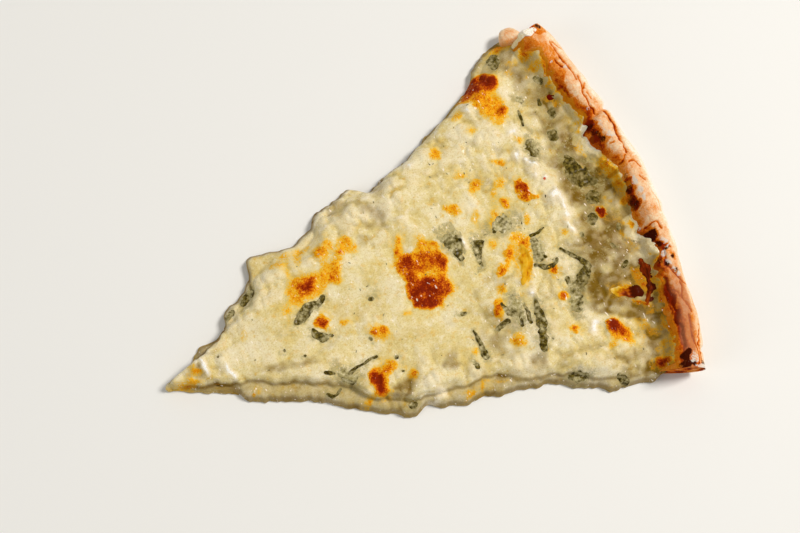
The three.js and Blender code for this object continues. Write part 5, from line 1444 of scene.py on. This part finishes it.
def bandMesh(spec, form, order):  # a thin closed band along the piece's path, laid on the cheese
    path = np.array(spec["path"], float)
    lengths = np.concatenate([[0], np.cumsum(np.hypot(*np.diff(path[:, :2], axis=0).T))])
    rows = max(5, int(lengths[-1] / form["step"]) + 1)
    s = np.linspace(0, lengths[-1], rows)
    u, v, width = (np.interp(s, lengths, path[:, k]) for k in range(3))
    for _ in range(max(1, rows // 8)):  # takes the corners off the path
        for line in (u, v, width):
            line[1:-1] = 0.25 * line[:-2] + 0.5 * line[1:-1] + 0.25 * line[2:]
    columns = max(5, int(width.max() / form["step"]) | 1)
    du, dv = np.gradient(u), np.gradient(v)
    size = np.hypot(du, dv)
    u, v, du, dv, s, width = (values[:, None] for values in (u, v, du / size, dv / size, s, width))
    t = np.linspace(-1, 1, columns)[None, :]
    ends = np.minimum(s, lengths[-1] - s) / np.maximum(spec.get("blunt", 0.5) * width, 0.3)
    ragged = layeredNoise(s, np.sign(t) * 7 + order * 13, [(0.24, 2.6), (0.16, 1.2)], 201)
    half = 0.5 * width * np.maximum(0.12, roundedEdge(ends)) * (1 + form["ragged"] * ragged)
    u, v = u - dv * t * half, v + du * t * half
    small = np.minimum(1, width / 4)
    nearEdge = np.maximum(np.abs(t), 1 - np.minimum(1, ends))
    film = mix(spec["film"][0], spec["film"][1], s / lengths[-1]) + spec.get("lean", 0.0) * t
    film = film + form["mottle"] * layeredNoise(u, v, [(1.0, 2.2), (0.6, 0.9)], 206)
    broken = smoothStep(0.4 + 1.3 * softNoise(u, v, 3.0, 205))
    film = film - form["darkEdge"] * broken * small * smoothStep((nearEdge - 0.45) / 0.5)
    pucker = form["pucker"] * small * layeredNoise(u, v, [(1.0, 3.4), (0.5, 1.5)], 203)
    up = topAt(u, v) + form["lift"] + pucker
    up = up - form["edgeDip"] * small * smoothStep((nearEdge - 0.6) / 0.4)
    up = up - form["sink"] * smoothStep((film - 0.5) / 0.4)
    points = np.concatenate([inFrame(u, v, z).reshape(-1, 3) for z in (up, up - form["thickness"])])
    # the last field carries the oil and painted shade of the cheese beneath
    fields = film, t * half, s, 0.75 * spotField(u, v, oilAndShadeSpots, 95, 0.45)
    values = [np.tile(np.broadcast_to(field, u.shape).ravel(), 2) for field in fields]
    return points, slabFaces(rows, columns), values


def layBands(name, specs, form, material, node=None, order=0):
    points, faces, values, count = [], [], [], 0
    for i, spec in enumerate(specs):
        bandPoints, bandFaces, bandValues = bandMesh(spec, form, order + i)
        points.append(bandPoints)
        faces += [tuple(count + k for k in face) for face in bandFaces]
        values.append(bandValues)
        count += len(bandPoints)
    attributes = dict(zip(("film", "across", "down", "oil"), np.concatenate(values, axis=1)))
    piece = meshPiece(name, np.concatenate(points), faces, attributes, material)
    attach(piece, "root")
    if node:
        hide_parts(node)


def scatteredFlecks():
    random = np.random.default_rng(flecks["seed"])
    specs = []
    while len(specs) < flecks["count"]:
        r = pie["radius"] * math.sqrt(random.uniform(0.01, 0.84))
        angle = random.uniform(-0.95, 0.95) * pie["halfAngle"]
        heading, length = random.uniform(0, math.pi), random.uniform(*flecks["length"])
        u, v, w = r * math.cos(angle), r * math.sin(angle), random.uniform(*flecks["width"])
        du, dv = length / 2 * math.cos(heading), length / 2 * math.sin(heading)
        specs.append({"path": [(u - du, v - dv, w), (u + du, v + dv, w * random.uniform(0.4, 1))],
                      "film": (random.uniform(0.2, 0.9),) * 2})
    return specs


def paleFloor():
    # Smooth pale table top, so that nothing takes the eye from the slice.
    material, tree = emptyMaterial("paleTableTop")
    surface = addNode(tree, "ShaderNodeBsdfPrincipled", {"Base Color": "#ececeb", "Roughness": 0.7})
    addNode(tree, "ShaderNodeOutputMaterial", links={"Surface": surface})
    half = 6.0  # metres
    corners = [(-half, -half, 0), (half, -half, 0), (half, half, 0), (-half, half, 0)]
    mesh = bpy.data.meshes.new("tableTop")
    mesh.from_pydata(corners, [], [(0, 1, 2, 3)])
    mesh.materials.append(material)
    floor = bpy.data.objects.new("tableTop", mesh)
    bpy.context.scene.collection.objects.link(floor)
    print("floor laid")


paleFloor()
dough = bakedDough()
buildCrust(dough)
buildBubble(dough)
melted = meltedCheese()
buildCheese(melted)
buildRimCurd(melted)
green = wiltedSpinach()
for i, spec in enumerate(spinach):
    node = f"spinach_{i + 1:02d}"
    layBands(f"spinachLeaf{i + 1:02d}", [spec], leaf, green, node, i)
layBands("spinachShreds", shreds, shred, green, order=30)
layBands("herbFlecks", scatteredFlecks(), flake, green, order=100)
print("spinach:", len(spinach), "leaves,", len(shreds), "shreds and", flecks["count"], "flecks")
amber = roastedArtichoke()
for i, spec in enumerate(artichoke):
    node = f"artichoke_{i + 1:02d}"
    layBands(f"artichokePetal{i + 1:02d}", [spec], petal, amber, node, 80 + i)
layBands("roastedStrips", roastedStrips, strip, amber, order=90)
layBands("chiliFlakes", chiliFlakes, flake, driedChili(), order=95)
print("artichoke:", len(artichoke), "petals and", len(roastedStrips), "strips")
print("chili:", len(chiliFlakes), "flakes")
